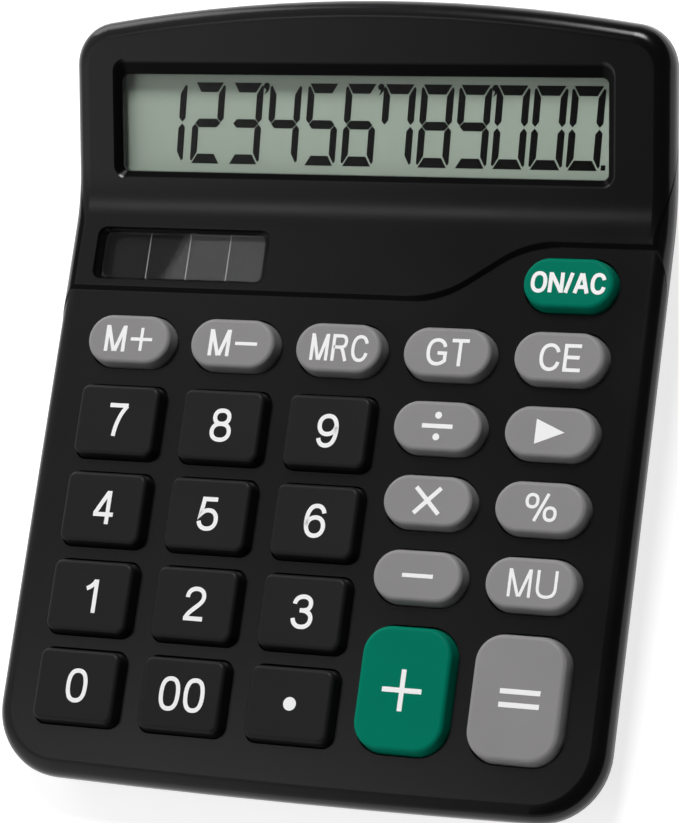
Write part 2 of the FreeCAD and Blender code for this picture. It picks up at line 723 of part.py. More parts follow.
def world_box(left, right, low, high, bottom, top):
    """A plain box in the part's own frame, between six places."""
    corner = FreeCAD.Vector(size(left), size(low), size(bottom))
    return Part.makeBox(
        size(f"({right}) - ({left})"), size(f"({high}) - ({low})"), size(f"({top}) - ({bottom})"), corner)


FEET = [
    ("-foot_across", "-foot_front"), ("foot_across", "-foot_front"),
    ("-foot_across_back", "foot_back"), ("foot_across_back", "foot_back"),
]
FLOOR_TOP = "base_height + wall"


def door_opening(gap):
    """The block of the base and rear wall that the battery door fills."""
    return world_box(
        f"-door_half - {gap}", f"door_half + {gap}", f"door_front - {gap}", FAR, "0", f"door_height + {gap}")


def bay_walls():
    """The walls round the AA cell; the back wall stops above the door's path."""
    inner, outer = "bay_half", "bay_half + bay_wall"
    front, back = "bay_front - bay_wall", "bay_back + bay_wall"
    walls = [
        world_box(f"-({outer})", outer, front, "bay_front - door_gap", FLOOR_TOP, "bay_height"),
        world_box(f"-({outer})", outer, "bay_back", back, f"{FLOOR_TOP} + 0.6", "bay_height"),
    ]
    for left, right in ((f"-({outer})", f"-({inner})"), (inner, outer)):
        walls.append(world_box(left, right, front, back, f"{FLOOR_TOP} - 0.5", "bay_height"))
    joined = walls[0].fuse(walls[1:])
    foot = world_box(f"-({outer})", outer, front, "bay_front - door_gap", f"{FLOOR_TOP} - 0.5", FLOOR_TOP)
    return joined.fuse(foot)


def build_bottom_case():
    outside = base_fillet("base_form_rounded", lower_envelope("base_form", "0", "skirt + seam", "base_height"))
    inside = lower_envelope("base_room", "wall / cos(draft)", "skirt - 4", FLOOR_TOP)
    shell = cut("base_shell", outside, inside)
    lip = cut(
        "base_lip",
        upper_envelope("lip_outside", "wall + 0.2", "skirt - 1.5", "skirt + seam + 1.5"),
        upper_envelope("lip_inside", "wall + 1.2", "skirt - 3", "skirt + seam + 3"),
    )
    upright = [
        post(x, y, size("post_radius + 0.5"), -60, -size("post_depth") - 0.1) for x, y in FRONT_POSTS
    ] + [
        post(x, y, size("post_radius + 0.5"), -60, -size("post_depth_back") - 0.1) for x, y in BACK_POSTS
    ]
    sockets = common("base_sockets", plain("base_posts", Part.makeCompound(upright), KEYBOARD), outside)
    bay = plain("battery_bay", bay_walls())
    whole = join("base_with_walls", shell, lip, sockets, bay)
    drills = []
    for (x, y), depth in zip(FRONT_POSTS + BACK_POSTS, ["post_depth"] * 2 + ["post_depth_back"] * 2):
        shank = post(x, y, size("screw_radius + 0.3"), -60, -size(depth))
        seat = post(x, y, size("case_head + 0.3"), -60, -size(depth) - size("head_seat"))
        drills.extend([shank, seat])
    screw_holes = plain("base_screw_holes", Part.makeCompound(drills), KEYBOARD)
    pockets = [
        Part.makeCylinder(
            size("foot_radius + 0.1"), size("foot_sink + 0.05") + 1,
            FreeCAD.Vector(size(x), size(y), size("base_height") - 1))
        for x, y in FEET
    ]
    cutouts = plain("base_cutouts", Part.makeCompound(pockets + [door_opening("door_gap")]))
    bottom = cut("bottom_case", whole, join("base_openings", screw_holes, cutouts))
    bottom.Label = "bottom_case"
    door_block = plain("door_block", door_opening("0"))
    plate = common("door_plate", shell, door_block)
    grooves = [
        world_box(
            "-9", "9", f"rear_reach - {y}", f"rear_reach - {y} + 1.2", "base_height - 1", "base_height + 0.5")
        for y in (6.2, 8.8, 11.4)
    ]
    door = cut("battery_door", plate, plain("door_grooves", Part.makeCompound(grooves)))
    door.Label = "battery_door"
    return bottom, door


# ---------------------------------------------------------------- inside: board and dome sheet


def board_outline(sketch, inset, back):
    """The board's outline: a rectangle with a tab under the key beside the shelf."""
    right = f"(board_half - {inset})"
    front = f"(board_front - {inset})"
    draw_loop(sketch, [
        (f"-{right}", f"-{front}"), (right, f"-{front}"), (right, f"tab_back - {inset}"),
        (f"tab_left + {inset}", f"tab_back - {inset}"), (f"tab_left + {inset}", back), (f"-{right}", back),
    ])


def build_circuit_board():
    body = new_body("circuit_board", KEYBOARD)
    outline = new_sketch(body, "board_edge", lift="-board_depth")
    board_outline(outline, "0", "board_back")
    pad(body, outline, "board_sheet", "board_thick", down=True)
    holes = new_sketch(body, "board_holes", lift="-board_depth")
    for x, y in BOARD_BOSSES:
        draw_circle(holes, x, y, "screw_radius + 0.2")
    pocket(body, holes, "board_drilling", "board_thick")
    return body


def build_dome_sheet():
    """A silicone sheet with a hollow dome under each key."""
    body = new_body("dome_sheet_flat", KEYBOARD)
    outline = new_sketch(body, "sheet_edge", lift="sheet_thick - board_depth")
    board_outline(outline, "sheet_inset", "sheet_back")
    pad(body, outline, "sheet_flat", "sheet_thick", down=True)
    holes = new_sketch(body, "sheet_holes", lift="sheet_thick - board_depth")
    for x, y in BOARD_BOSSES[2:]:
        draw_circle(holes, x, y, "boss_radius + 0.35")
    pocket(body, holes, "sheet_punching", "sheet_thick")
    foot, crown, height = size("dome_foot"), size("dome_crown"), size("dome_height")
    skin = size("sheet_thick")
    dome = Part.makeCone(foot, crown, height).cut(Part.makeCone(foot - skin, crown - skin, height - skin))
    well = Part.makeCone(foot - skin, foot - skin - 0.01, skin)
    domes, wells = [], []
    for _, x, y in KEYS.values():
        for solid, found, lift in ((dome, domes, skin), (well, wells, 0)):
            copy = solid.copy()
            copy.Placement = FreeCAD.Placement(
                FreeCAD.Vector(size(x), size(y), lift - size("board_depth")), FreeCAD.Rotation())
            found.append(copy)
    domed = fuse("sheet_with_domes", body, plain("domes", Part.makeCompound(domes), KEYBOARD))
    sheet = cut("dome_sheet", domed, plain("dome_wells", Part.makeCompound(wells), KEYBOARD))
    sheet.Label = "dome_sheet"
    return sheet


def build_controller_chip():
    """The hard resin cap over the bare chip on the back of the board."""
    body = new_body("controller_chip", keyboard_place("12", "-18", "-board_depth - board_thick"))
    sketch = new_sketch(body, "chip_profile", "XZ_Plane")
    draw_loop(sketch, [("0", "0"), ("0", "-1.6"), ("6.5", "0")], {1: ("14", 1)})
    turn = body.newObject("PartDesign::Revolution", "chip_cap")
    turn.Profile = sketch
    turn.ReferenceAxis = (sketch, ["V_Axis"])
    turn.Angle = 360
    return body


def build_board_components():
    """Two small capacitors, a resonator and five chip resistors under the board."""
    under = -size("board_depth + board_thick")
    solids = []
    for x, y in ((-14.0, 6.0), (-14.0, -4.0)):
        solids.append(Part.makeCylinder(2.0, 6.5, FreeCAD.Vector(x, y, under - 2.0), X))
    solids.append(Part.makeBox(7.0, 2.4, 2.0, FreeCAD.Vector(22.0, -4.0, under - 2.0)))
    for step in range(5):
        solids.append(Part.makeBox(2.0, 1.25, 0.6, FreeCAD.Vector(2.0 + 4.0 * step, -30.0, under - 0.6)))
    return plain("board_components", Part.makeCompound(solids), KEYBOARD)


# ---------------------------------------------------------------- inside: display and solar cell


def build_display_panel():
    """Two glass plates; the front one is taller and leaves a contact ledge at its foot."""
    body = new_body("display_panel", PANEL)
    left, right = "display_shift - glass_width / 2", "display_shift + glass_width / 2"
    front = new_sketch(body, "front_glass", lift=f"-{PANEL_WALL} - window_flange - 0.05")
    draw_box(front, left, right, "glass_low", "glass_high")
    pad(body, front, "front_plate", "glass_thick", down=True)
    back = new_sketch(body, "back_glass", lift=f"-{PANEL_WALL} - window_flange - 0.05 - glass_thick")
    draw_box(back, left, right, "glass_low + glass_ledge", "glass_high")
    pad(body, back, "back_plate", "glass_thick", down=True)
    return body


def build_display_frame():
    """The frame that holds the display glass against its window."""
    body = new_body("display_frame", PANEL)
    top = f"-{PANEL_WALL} - window_flange - 0.05"

    def ring(name, grow, lift):
        sketch = new_sketch(body, name, lift=lift)
        draw_box(
            sketch, f"display_shift - glass_width / 2 - ({grow})", f"display_shift + glass_width / 2 + {grow}",
            f"glass_low - ({grow})", f"glass_high + ({grow})")
        return sketch

    pad(body, ring("frame_outline", "frame_rim", top), "frame_block", "frame_thick", down=True)
    pocket(body, ring("frame_seat", "0.15", top), "frame_pocket", "2 * glass_thick + 0.05")
    pocket(body, ring("frame_hole", "-frame_lip", top), "frame_window", "frame_thick")
    return body


def build_display_ribbon():
    """The flat cable from the display's contact ledge down to the board."""
    to_keyboard = KEYBOARD.inverse().multiply(PANEL)
    gap = 0.02  # the film of glue that holds the ribbon
    ledge = size(f"{PANEL_WALL} + window_flange + 0.05 + glass_thick + ribbon_thick") + gap
    foot = size("glass_low + frame_lip") + 0.15
    route = [to_keyboard.multVec(FreeCAD.Vector(0, y, z)) for y, z in (
        (foot + 1.2, -ledge), (foot, -ledge), (foot, -ledge - 3.6))]
    board = size("ribbon_thick - board_depth") + gap
    route += [FreeCAD.Vector(0, 40, board), FreeCAD.Vector(0, size("sheet_back") + 0.8, board)]
    thick, width = size("ribbon_thick"), size("ribbon_width")
    middle = size("ribbon_across")
    pieces = []
    for first, last in zip(route, route[1:]):
        along = last - first
        normal = X.cross(along).normalize() * thick
        edge = Part.makePolygon([first, last, last + normal, first + normal, first])
        pieces.append(Part.Face(edge).extrude(X * width))
    for turn in route[1:-1]:
        pieces.append(Part.makeCylinder(thick, width, turn, X))
    ribbon = pieces[0].fuse(pieces[1:]).removeSplitter()
    ribbon.translate(FreeCAD.Vector(middle - width / 2, 0, 0))
    return plain("display_ribbon", ribbon, KEYBOARD)


def build_solar_cell():
    body = new_body("solar_cell", KEYBOARD)
    sketch = new_sketch(body, "solar_sheet", lift=f"-shelf_depth - {PANEL_WALL} - window_flange - 0.05")
    draw_rounded(sketch, "solar_width + 2", "solar_length + 2", "0.5", "solar_across", "solar_place")
    pad(body, sketch, "solar_plate", "cell_sheet", down=True)
    return body


# ---------------------------------------------------------------- inside: battery and leads


def build_battery():
    body = new_body("battery", FreeCAD.Placement(
        FreeCAD.Vector(-0.6, size("cell_place"), size("cell_height")), FreeCAD.Rotation()))
    sketch = new_sketch(body, "battery_profile")
    end, skin = "cell_length / 2", "cell_radius"
    draw_loop(sketch, [
        (f"-{end}", "0"), (f"-{end}", f"{skin} - 0.6"), (f"-{end} + 0.6", skin), (f"{end} - 0.6", skin),
        (end, f"{skin} - 0.6"), (end, "2.7"), (f"{end} + cell_nub", "2.7"), (f"{end} + cell_nub", "0"),
    ])
    turn = body.newObject("PartDesign::Revolution", "battery_can")
    turn.Profile = sketch
    turn.ReferenceAxis = (sketch, ["H_Axis"])
    turn.Angle = 360
    return body


def contact_plate(label, x, thick):
    """A contact plate in the battery bay, with a solder tag standing above the bay."""
    body = new_body(label)
    sketch = new_sketch(body, label + "_plate", "YZ_Plane", lift=x)
    draw_loop(sketch, [
        ("cell_place - 5", "cell_height - 5.5"), ("cell_place + 5", "cell_height - 5.5"),
        ("cell_place + 5", "cell_height + 3"), ("cell_place + 1.5", "cell_height + 3"),
        ("cell_place + 1.5", "bay_height + 1"), ("cell_place - 1.5", "bay_height + 1"),
        ("cell_place - 1.5", "cell_height + 3"), ("cell_place - 5", "cell_height + 3"),
    ])
    pad(body, sketch, label + "_sheet", thick)
    return body


def build_negative_spring():
    """A conical spring on a plate at the bay's left end."""
    plate = contact_plate("spring_plate", "-bay_half + 0.05", "0.4")
    start = size("-bay_half + 0.45 + 0.3")
    reach = size("-cell_length / 2 - 0.6") - 0.45 - start
    helix = Part.makeLongHelix(reach / 4, reach, 4.2, -12.0)
    wire = Part.Wire(helix.Edges)
    first = helix.Edges[0]
    place, direction = first.valueAt(first.FirstParameter), first.tangentAt(first.FirstParameter)
    ring = Part.Wire(Part.makeCircle(0.35, place, direction))
    coil = wire.makePipeShell([ring], True, True)
    coil.rotate(FreeCAD.Vector(), Y, 90)
    coil.translate(FreeCAD.Vector(start, size("cell_place"), size("cell_height")))
    spring = fuse("negative_contact", plate, plain("spring_coil", coil))
    spring.Label = "negative_contact"
    return spring


def lead(points, radius):
    """A thin wire of straight runs with rounded joints."""
    solids = [
        Part.makeCylinder(radius, (last - first).Length, first, last - first)
        for first, last in zip(points, points[1:])
    ]
    solids += [Part.makeSphere(radius, turn) for turn in points[1:-1]]
    return solids[0].fuse(solids[1:])


def build_battery_leads():
    """One lead from each battery contact to the back edge of the board."""
    tag_y, tag_z = size("cell_place") - 2.2, size("bay_height") + 1.3
    leads = []
    for tag, landing in ((-size("bay_half") + 0.3, -26.0), (size("bay_half") - 0.3, 24.0)):
        board = KEYBOARD.multVec(FreeCAD.Vector(landing, 22.0, -size("board_depth + board_thick") - 0.6))
        before = KEYBOARD.multVec(FreeCAD.Vector(landing, 30.0, -size("board_depth + board_thick") - 0.9))
        leads.append(lead([
            FreeCAD.Vector(tag, tag_y + 0.6, tag_z), FreeCAD.Vector(tag, tag_y - 8.0, tag_z),
            before, board,
        ], size("wire_radius")))
    return plain("battery_leads", Part.makeCompound(leads))


def build_solar_leads():
    """Two short leads from the solar cell's back to the board's top."""
    under = -size(f"shelf_depth + {PANEL_WALL} + window_flange + 0.05 + cell_sheet")
    leads = []
    for x in (-44.0, -38.0):
        leads.append(lead([
            FreeCAD.Vector(x, 28.0, under - 0.35), FreeCAD.Vector(x, 25.6, under - 0.6),
            FreeCAD.Vector(x, 22.6, -size("board_depth") + 0.4),
        ], 0.35))
    return plain("solar_leads", Part.makeCompound(leads), KEYBOARD)


# ---------------------------------------------------------------- fasteners and feet


def screw(head_radius, head_height, length):
    """A cross-recess screw that points up, its head below Z = 0."""
    head = Part.makeCylinder(head_radius, head_height, FreeCAD.Vector(0, 0, -head_height))
    rim = [edge for edge in head.Edges if flat_on(edge, "Z", -head_height)]
    head = head.makeFillet(head_height * 0.45, rim)
    shank = Part.makeCylinder(size("screw_radius") - 0.15, length - 1)
    tip = Part.makeCone(size("screw_radius") - 0.15, 0.3, 1, FreeCAD.Vector(0, 0, length - 1))
    solid = head.fuse([shank, tip])
    for turn in (0, 90):
        slot = Part.makeBox(head_radius * 1.2, 0.5, 0.7, FreeCAD.Vector(-head_radius * 0.6, -0.25, -head_height))
        slot.rotate(FreeCAD.Vector(), Z, turn)
        solid = solid.cut(slot)
    return solid


def build_screws(label, places, head_radius, head_height, length):
    """Identical screws, each under its own seat in the keyboard frame."""
    solids = []
    for x, y, z in places:
        solid = screw(head_radius, head_height, length)
        solid.translate(FreeCAD.Vector(size(x), size(y), size(z)))
        solids.append(solid)
    return plain(label, Part.makeCompound(solids), KEYBOARD)


def build_feet():
    height = size("base_height + foot_sink")
    solids = []
    for x, y in FEET:
        foot = Part.makeCylinder(size("foot_radius"), height, FreeCAD.Vector(size(x), size(y), 0))
        lower = [edge for edge in foot.Edges if flat_on(edge, "Z", 0)]
        solids.append(foot.makeFillet(0.4, lower))
    return plain("rubber_feet", Part.makeCompound(solids))


# ---------------------------------------------------------------- the parts

parts = {"top_case": build_top_case()}
parts["bottom_case"], parts["battery_door"] = build_bottom_case()
for label, (kind, x, y) in KEYS.items():
    parts[label] = build_key(label, kind, x, y)
parts["display_window"] = build_window(
    "display_window", PANEL, "display_width", "display_length", "display_shift",
    "display_place", "display_depth", "0",
)
parts["solar_window"] = build_window(
    "solar_window", KEYBOARD, "solar_width", "solar_length", "solar_across",
    "solar_place", "solar_depth", "-shelf_depth",
)
parts["circuit_board"] = build_circuit_board()
parts["dome_sheet"] = build_dome_sheet()
parts["controller_chip"] = build_controller_chip()
parts["board_components"] = build_board_components()
parts["display_panel"] = build_display_panel()
parts["display_frame"] = build_display_frame()
parts["display_ribbon"] = build_display_ribbon()
parts["solar_cell"] = build_solar_cell()
parts["battery"] = build_battery()
parts["negative_contact"] = build_negative_spring()
parts["positive_contact"] = contact_plate("positive_contact", "bay_half - 0.45", "0.4")
parts["battery_leads"] = build_battery_leads()
parts["solar_leads"] = build_solar_leads()
parts["board_screws"] = build_screws(
    "board_screws", [(x, y, "-board_depth - board_thick - 0.02") for x, y in BOARD_BOSSES],
    size("board_head"), 1.0, 4.2,
)
parts["case_screws"] = build_screws(
    "case_screws",
    [(x, y, "-post_depth - head_seat - 0.02") for x, y in FRONT_POSTS]
    + [(x, y, "-post_depth_back - head_seat - 0.02") for x, y in BACK_POSTS],
    size("case_head"), 1.2, 5.2,
)
parts["rubber_feet"] = build_feet()

# ---------------------------------------------------------------- checking and writing

doc.recompute()
for item in doc.Objects:
    if "Invalid" in item.State or "Error" in item.State:
        raise RuntimeError(f"{item.Name} failed: {item.State}")
for label, item in parts.items():
    if item.Shape.isNull() or not item.Shape.isValid():
        raise RuntimeError(f"{label} has no valid shape")

os.makedirs("parts", exist_ok=True)
for label, item in parts.items():
    item.Shape.exportStep(f"parts/{label}.step")
    box = item.Shape.BoundBox
    print(label, len(item.Shape.Solids), round(item.Shape.Volume), [round(v, 2) for v in (
        box.XMin, box.XMax, box.YMin, box.YMax, box.ZMin, box.ZMax)])
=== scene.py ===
import json
import math

import bmesh
import bpy
from mathutils import Matrix, Quaternion, Vector


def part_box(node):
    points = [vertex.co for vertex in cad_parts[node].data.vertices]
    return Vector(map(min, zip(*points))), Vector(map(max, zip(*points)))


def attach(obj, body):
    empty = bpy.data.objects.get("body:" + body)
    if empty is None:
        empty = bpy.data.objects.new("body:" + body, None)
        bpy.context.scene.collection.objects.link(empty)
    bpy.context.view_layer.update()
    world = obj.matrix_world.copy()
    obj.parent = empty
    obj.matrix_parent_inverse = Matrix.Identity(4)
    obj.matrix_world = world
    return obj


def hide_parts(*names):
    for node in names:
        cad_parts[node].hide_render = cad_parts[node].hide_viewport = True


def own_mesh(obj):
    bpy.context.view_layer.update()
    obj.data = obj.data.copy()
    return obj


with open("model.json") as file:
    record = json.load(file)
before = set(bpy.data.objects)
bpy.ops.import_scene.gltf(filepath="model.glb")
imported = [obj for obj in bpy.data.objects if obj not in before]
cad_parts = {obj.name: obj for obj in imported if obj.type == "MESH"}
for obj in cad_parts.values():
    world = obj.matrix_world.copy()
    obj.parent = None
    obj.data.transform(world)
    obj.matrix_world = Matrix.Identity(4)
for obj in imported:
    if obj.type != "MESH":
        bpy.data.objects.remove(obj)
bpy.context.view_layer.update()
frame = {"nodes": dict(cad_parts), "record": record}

MM = 0.001
scene = bpy.context.scene


# ---------------------------------------------------------------- places on the frame


FACING_UP = 0.7  # least Z of the normals of a piece's top faces
LEVEL_ACROSS = 0.02  # greatest X of the normals of faces that don't lean to a side
SAME_TILT = 0.006  # greatest difference between the normals of one flat face
FLAT = 0.02 * MM  # greatest difference in height within one flat face
SAME_WAY = 0.99995  # least cosine between a face's normal and the way that it looks
LARGE_FACE = 400 * MM * MM
WELD = 1e-7  # points closer than this are one point, in metres


def face_frame(node):
    """The node's highest large flat face: its middle, with X to the right and Z out of it."""
    mesh = frame["nodes"][node].data
    upward = [p for p in mesh.polygons if p.normal.z > FACING_UP]
    areas = {}
    for polygon in upward:
        if abs(polygon.normal.x) < LEVEL_ACROSS:
            key = round(polygon.normal.y, 2)
            areas[key] = areas.get(key, 0.0) + polygon.area
    tilt = max(areas, key=areas.get)
    picked = [p for p in upward if abs(p.normal.y - tilt) < SAME_TILT]
    normal = sum((p.normal * p.area for p in picked), Vector()).normalized()
    normal.x = 0.0
    normal.normalize()
    top = max(normal.dot(v.co) for v in mesh.vertices)
    across = Vector((1, 0, 0))
    up = normal.cross(across)
    flat = [v.co for v in mesh.vertices if normal.dot(v.co) > top - FLAT]
    xs = [p.dot(across) for p in flat]
    ys = [p.dot(up) for p in flat]
    middle = across * (min(xs) + max(xs)) / 2 + up * (min(ys) + max(ys)) / 2 + normal * top
    return Matrix.Translation(middle) @ Matrix((across, up, normal)).transposed().to_4x4()


def flat_levels(node, normal):
    """Heights along a direction of the node's large faces that look that way, lowest first."""
    areas = {}
    for polygon in frame["nodes"][node].data.polygons:
        if polygon.normal.dot(normal) > SAME_WAY:
            level = round(polygon.center.dot(normal), 5)
            areas[level] = areas.get(level, 0.0) + polygon.area
    return sorted(level for level, area in areas.items() if area > LARGE_FACE)


PRESS_WAY = Vector(frame["record"]["behaviour"]["joints"][0]["axis"]).normalized()  # of every key
KEY_NODES = sorted(name for name in frame["nodes"] if name.startswith("key_"))


def new_piece(name, bm, body, material):
    mesh = bpy.data.meshes.new(name)
    bmesh.ops.remove_doubles(bm, verts=bm.verts, dist=WELD)
    bmesh.ops.recalc_face_normals(bm, faces=bm.faces)
    bm.to_mesh(mesh)
    bm.free()
    piece = bpy.data.objects.new(name, mesh)
    scene.collection.objects.link(piece)
    piece.data.materials.append(material)
    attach(piece, body)
    return piece


# ---------------------------------------------------------------- materials


def math_node(tree, operation, first, second):
    node = tree.nodes.new("ShaderNodeMath")
    node.operation = operation
    tree.links.new(first, node.inputs[0])
    tree.links.new(second, node.inputs[1])
    return node.outputs["Value"]


def range_node(tree, source, low, high, at_low=0.0, at_high=1.0, form="LINEAR"):
    """Goes from one value to another while its source goes from low to high."""
    node = tree.nodes.new("ShaderNodeMapRange")
    node.interpolation_type = form
    limits = {"From Min": low, "From Max": high, "To Min": at_low, "To Max": at_high}
    for name, value in limits.items():
        node.inputs[name].default_value = value
    tree.links.new(source, node.inputs["Value"])
    return node.outputs["Result"]


class Nodes:
    """A material's nodes, with short names for the ones used most."""

    def __init__(self, name):
        self.material = bpy.data.materials.new(name)
        self.material.use_nodes = True
        self.tree = self.material.node_tree
        self.shader = self.tree.nodes["Principled BSDF"]
        self.place = self.add("ShaderNodeTexCoord").outputs["Object"]

    def add(self, kind, **inputs):
        node = self.tree.nodes.new(kind)
        for key, value in inputs.items():
            node.inputs[key.replace("_", " ")].default_value = value
        return node

    def link(self, source, target):
        self.tree.links.new(source, target)

    def drive(self, name, source):
        self.link(source, self.shader.inputs[name])

    def noise(self, scale, detail=2.0, rough=0.5):
        node = self.add("ShaderNodeTexNoise", Scale=scale, Detail=detail, Roughness=rough)
        self.link(self.place, node.inputs["Vector"])
        return node.outputs["Fac"]

    def ramp(self, source, stops, steps=False):
        node = self.tree.nodes.new("ShaderNodeValToRGB")
        ramp = node.color_ramp
        ramp.interpolation = "CONSTANT" if steps else "LINEAR"
        ramp.elements[0].position, ramp.elements[0].color = stops[0]
        ramp.elements[1].position, ramp.elements[1].color = stops[-1]
        for position, color in stops[1:-1]:
            ramp.elements.new(position).color = color
        self.link(source, node.inputs["Fac"])
        return node.outputs["Color"]

    def vary(self, source, low, high):
        """From one colour to the other over the usual values of a noise."""
        return self.ramp(source, [(0.3, low), (0.7, high)])

    def along(self, axis, low, high):
        """0 to 1 from one place along an axis to another."""
        split = self.add("ShaderNodeSeparateXYZ")
        self.link(self.place, split.inputs[0])
        return range_node(self.tree, split.outputs[axis], low, high)

    def between(self, direction, low, high, edge):
        """1 where the place along a direction is between two values, with soft edges."""
        place = self.tree.nodes.new("ShaderNodeVectorMath")
        place.operation = "DOT_PRODUCT"
        place.inputs[1].default_value = direction
        self.link(self.place, place.inputs[0])
        above = range_node(self.tree, place.outputs["Value"], low, low + edge)
        below = range_node(self.tree, place.outputs["Value"], high, high - edge)
        return self.both(above, below)

    def both(self, first, second):
        return math_node(self.tree, "MULTIPLY", first, second)

    def bump(self, height, distance):
        node = self.add("ShaderNodeBump", Strength=1.0, Distance=distance)
        self.link(height, node.inputs["Height"])
        self.drive("Normal", node.outputs["Normal"])

    def set(self, **values):
        for key, value in values.items():
            self.shader.inputs[key.replace("_", " ")].default_value = value


def gray(value):
    return (value, value, value, 1.0)


def shade(color, factor):
    return tuple(channel * factor for channel in color[:3]) + (1.0,)


def moulded_nodes(name, color, roughness, grain, depth, specular=0.5, spread=0.12):
    """Moulded plastic: a fine etched grain, and slow changes of colour and gloss."""
    n = Nodes(name)
    n.set(Specular_IOR_Level=specular)
    slow = n.noise(60.0, 3.0)
    n.drive("Base Color", n.vary(slow, shade(color, 1 - spread), shade(color, 1 + spread)))
    n.drive("Roughness", n.vary(slow, gray(roughness * 0.93), gray(roughness * 1.07)))
    n.bump(n.noise(grain, 2.0, 0.6), depth)
    return n


def moulded(name, color, **finish):
    return moulded_nodes(name, color, **finish).material


CASE_SPECULAR = 0.28
# painted shade: this low gloss makes the step's face and the display recess render black
SHADED_SPECULAR = 0.042  # on the narrow faces that the photo shows black
STEP_MARGIN = 0.03 * MM  # left out at the foot and the top of the step's face
RECESS_REACH = 2.0 * MM  # from the display window's outline to the recess's rim
RECESS_TOP = 0.1 * MM  # from the panel down to where the painted shade in the recess begins
RECESS_DEPTH = 6.0 * MM


def case_material():
    """The case's plastic, with painted shade on the face of the step and on the walls round the display:
    they lose their gloss there, so they look black.
    """
    n = moulded_nodes(
        "case_plastic", gray(0.003), roughness=0.2, grain=5200.0, depth=0.0025 * MM, specular=CASE_SPECULAR)
    deck, shelf = flat_levels("top_case", -PRESS_WAY)[-2:]
    step = n.between(-PRESS_WAY, deck + STEP_MARGIN, shelf - STEP_MARGIN, 0.06 * MM)

    window = face_frame("display_window")
    up = window.col[1].to_3d()
    out = window.col[2].to_3d()
    panel = flat_levels("top_case", out)[-1]
    low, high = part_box("display_window")
    side = (high.x - low.x) / 2 + RECESS_REACH
    heights = [v.co.dot(up) for v in frame["nodes"]["display_window"].data.vertices]
    across = n.between(Vector((1, 0, 0)), -side, side, 0.1 * MM)
    along = n.between(up, min(heights) - RECESS_REACH, max(heights) + RECESS_REACH, 0.1 * MM)
    inward = n.between(out, panel - RECESS_DEPTH, panel - RECESS_TOP, 0.2 * MM)
    recess = n.both(n.both(across, along), inward)

    # painted shade: the step's face and the recess walls lose most of their gloss, so they render black
    dark = math_node(n.tree, "MAXIMUM", step, recess)
    n.drive("Specular IOR Level", range_node(n.tree, dark, 0.0, 1.0, CASE_SPECULAR, SHADED_SPECULAR))
    return n.material


def metal(name, color, roughness):
    n = Nodes(name)
    n.set(Metallic=1.0)
    streak = n.noise(900.0, 3.0)
    n.drive("Base Color", n.vary(streak, shade(color, 0.85), shade(color, 1.05)))
    n.drive("Roughness", n.vary(streak, gray(roughness * 0.8), gray(roughness * 1.25)))
    n.bump(streak, 0.004 * MM)
    return n.material


def clear(name, haze, mirror_least):
    """A clear pane: light goes straight through and the surface reflects like glass."""
    material = bpy.data.materials.new(name)
    material.use_nodes = True
    tree = material.node_tree
    tree.nodes.clear()
    through = tree.nodes.new("ShaderNodeBsdfTransparent")
    through.inputs["Color"].default_value = (0.97, 0.98, 0.97, 1.0)
    gloss = tree.nodes.new("ShaderNodeBsdfGlossy")
    place = tree.nodes.new("ShaderNodeTexCoord")
    smear = tree.nodes.new("ShaderNodeTexNoise")
    smear.inputs["Scale"].default_value = 180.0
    tree.links.new(place.outputs["Object"], smear.inputs["Vector"])
    spread = range_node(tree, smear.outputs["Fac"], 0.0, 1.0, haze * 0.5, haze * 1.5)
    tree.links.new(spread, gloss.inputs["Roughness"])
    facing = tree.nodes.new("ShaderNodeLayerWeight")
    facing.inputs["Blend"].default_value = 0.5
    power = tree.nodes.new("ShaderNodeMath")
    power.operation = "POWER"
    power.inputs[1].default_value = 5.0
    tree.links.new(facing.outputs["Facing"], power.inputs[0])
    mirror = range_node(tree, power.outputs["Value"], 0.0, 1.0, mirror_least, 1.0)
    mix = tree.nodes.new("ShaderNodeMixShader")
    tree.links.new(mirror, mix.inputs["Fac"])
    tree.links.new(through.outputs["BSDF"], mix.inputs[1])
    tree.links.new(gloss.outputs["BSDF"], mix.inputs[2])
    out = tree.nodes.new("ShaderNodeOutputMaterial")
    tree.links.new(mix.outputs["Shader"], out.inputs["Surface"])
    return material


def board_material():
    """Green laminate with the pattern of its tracks."""
    n = Nodes("board_laminate")
    n.set(Specular_IOR_Level=0.5, Roughness=0.35)
    pattern = n.add("ShaderNodeTexBrick", Scale=160.0)
    pattern.inputs["Color1"].default_value = gray(0.0)
    pattern.inputs["Color2"].default_value = gray(0.0)
    pattern.inputs["Mortar"].default_value = gray(1.0)
    pattern.inputs["Mortar Size"].default_value = 0.03
    n.link(n.place, pattern.inputs["Vector"])
    track = pattern.outputs["Color"]
    n.drive("Base Color", n.ramp(track, [(0.4, (0.012, 0.09, 0.03, 1)), (0.6, (0.03, 0.17, 0.06, 1))]))
    n.bump(track, 0.03 * MM)
    return n.material


def battery_material():
    """Bare ends, and a sleeve in two colours between them."""
    low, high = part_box("battery")
    n = Nodes("battery_can")
    bands = [
        (0.0, gray(0.5)), (0.02, (0.02, 0.022, 0.026, 1)),
        (0.7, (0.45, 0.2, 0.08, 1)), (0.955, gray(0.5)),
    ]
    n.drive("Base Color", n.ramp(n.along("X", low.x, high.x), bands, steps=True))
    n.drive("Roughness", n.vary(n.noise(300.0), gray(0.22), gray(0.32)))
    n.set(Metallic=0.75)
    n.bump(n.noise(1500.0), 0.004 * MM)
    return n.material


def parts_by_place(name, stops):
    """Different colours for the solids of one node, which lie one beside the other."""
    n = Nodes(name)
    roughness = 0.35
    place = n.along("X", -60 * MM, 60 * MM)
    n.drive("Base Color", n.ramp(place, stops, steps=True))
    n.drive("Roughness", n.vary(n.noise(400.0), gray(roughness * 0.85), gray(roughness * 1.15)))
    n.bump(n.noise(2500.0), 0.006 * MM)
    return n.material


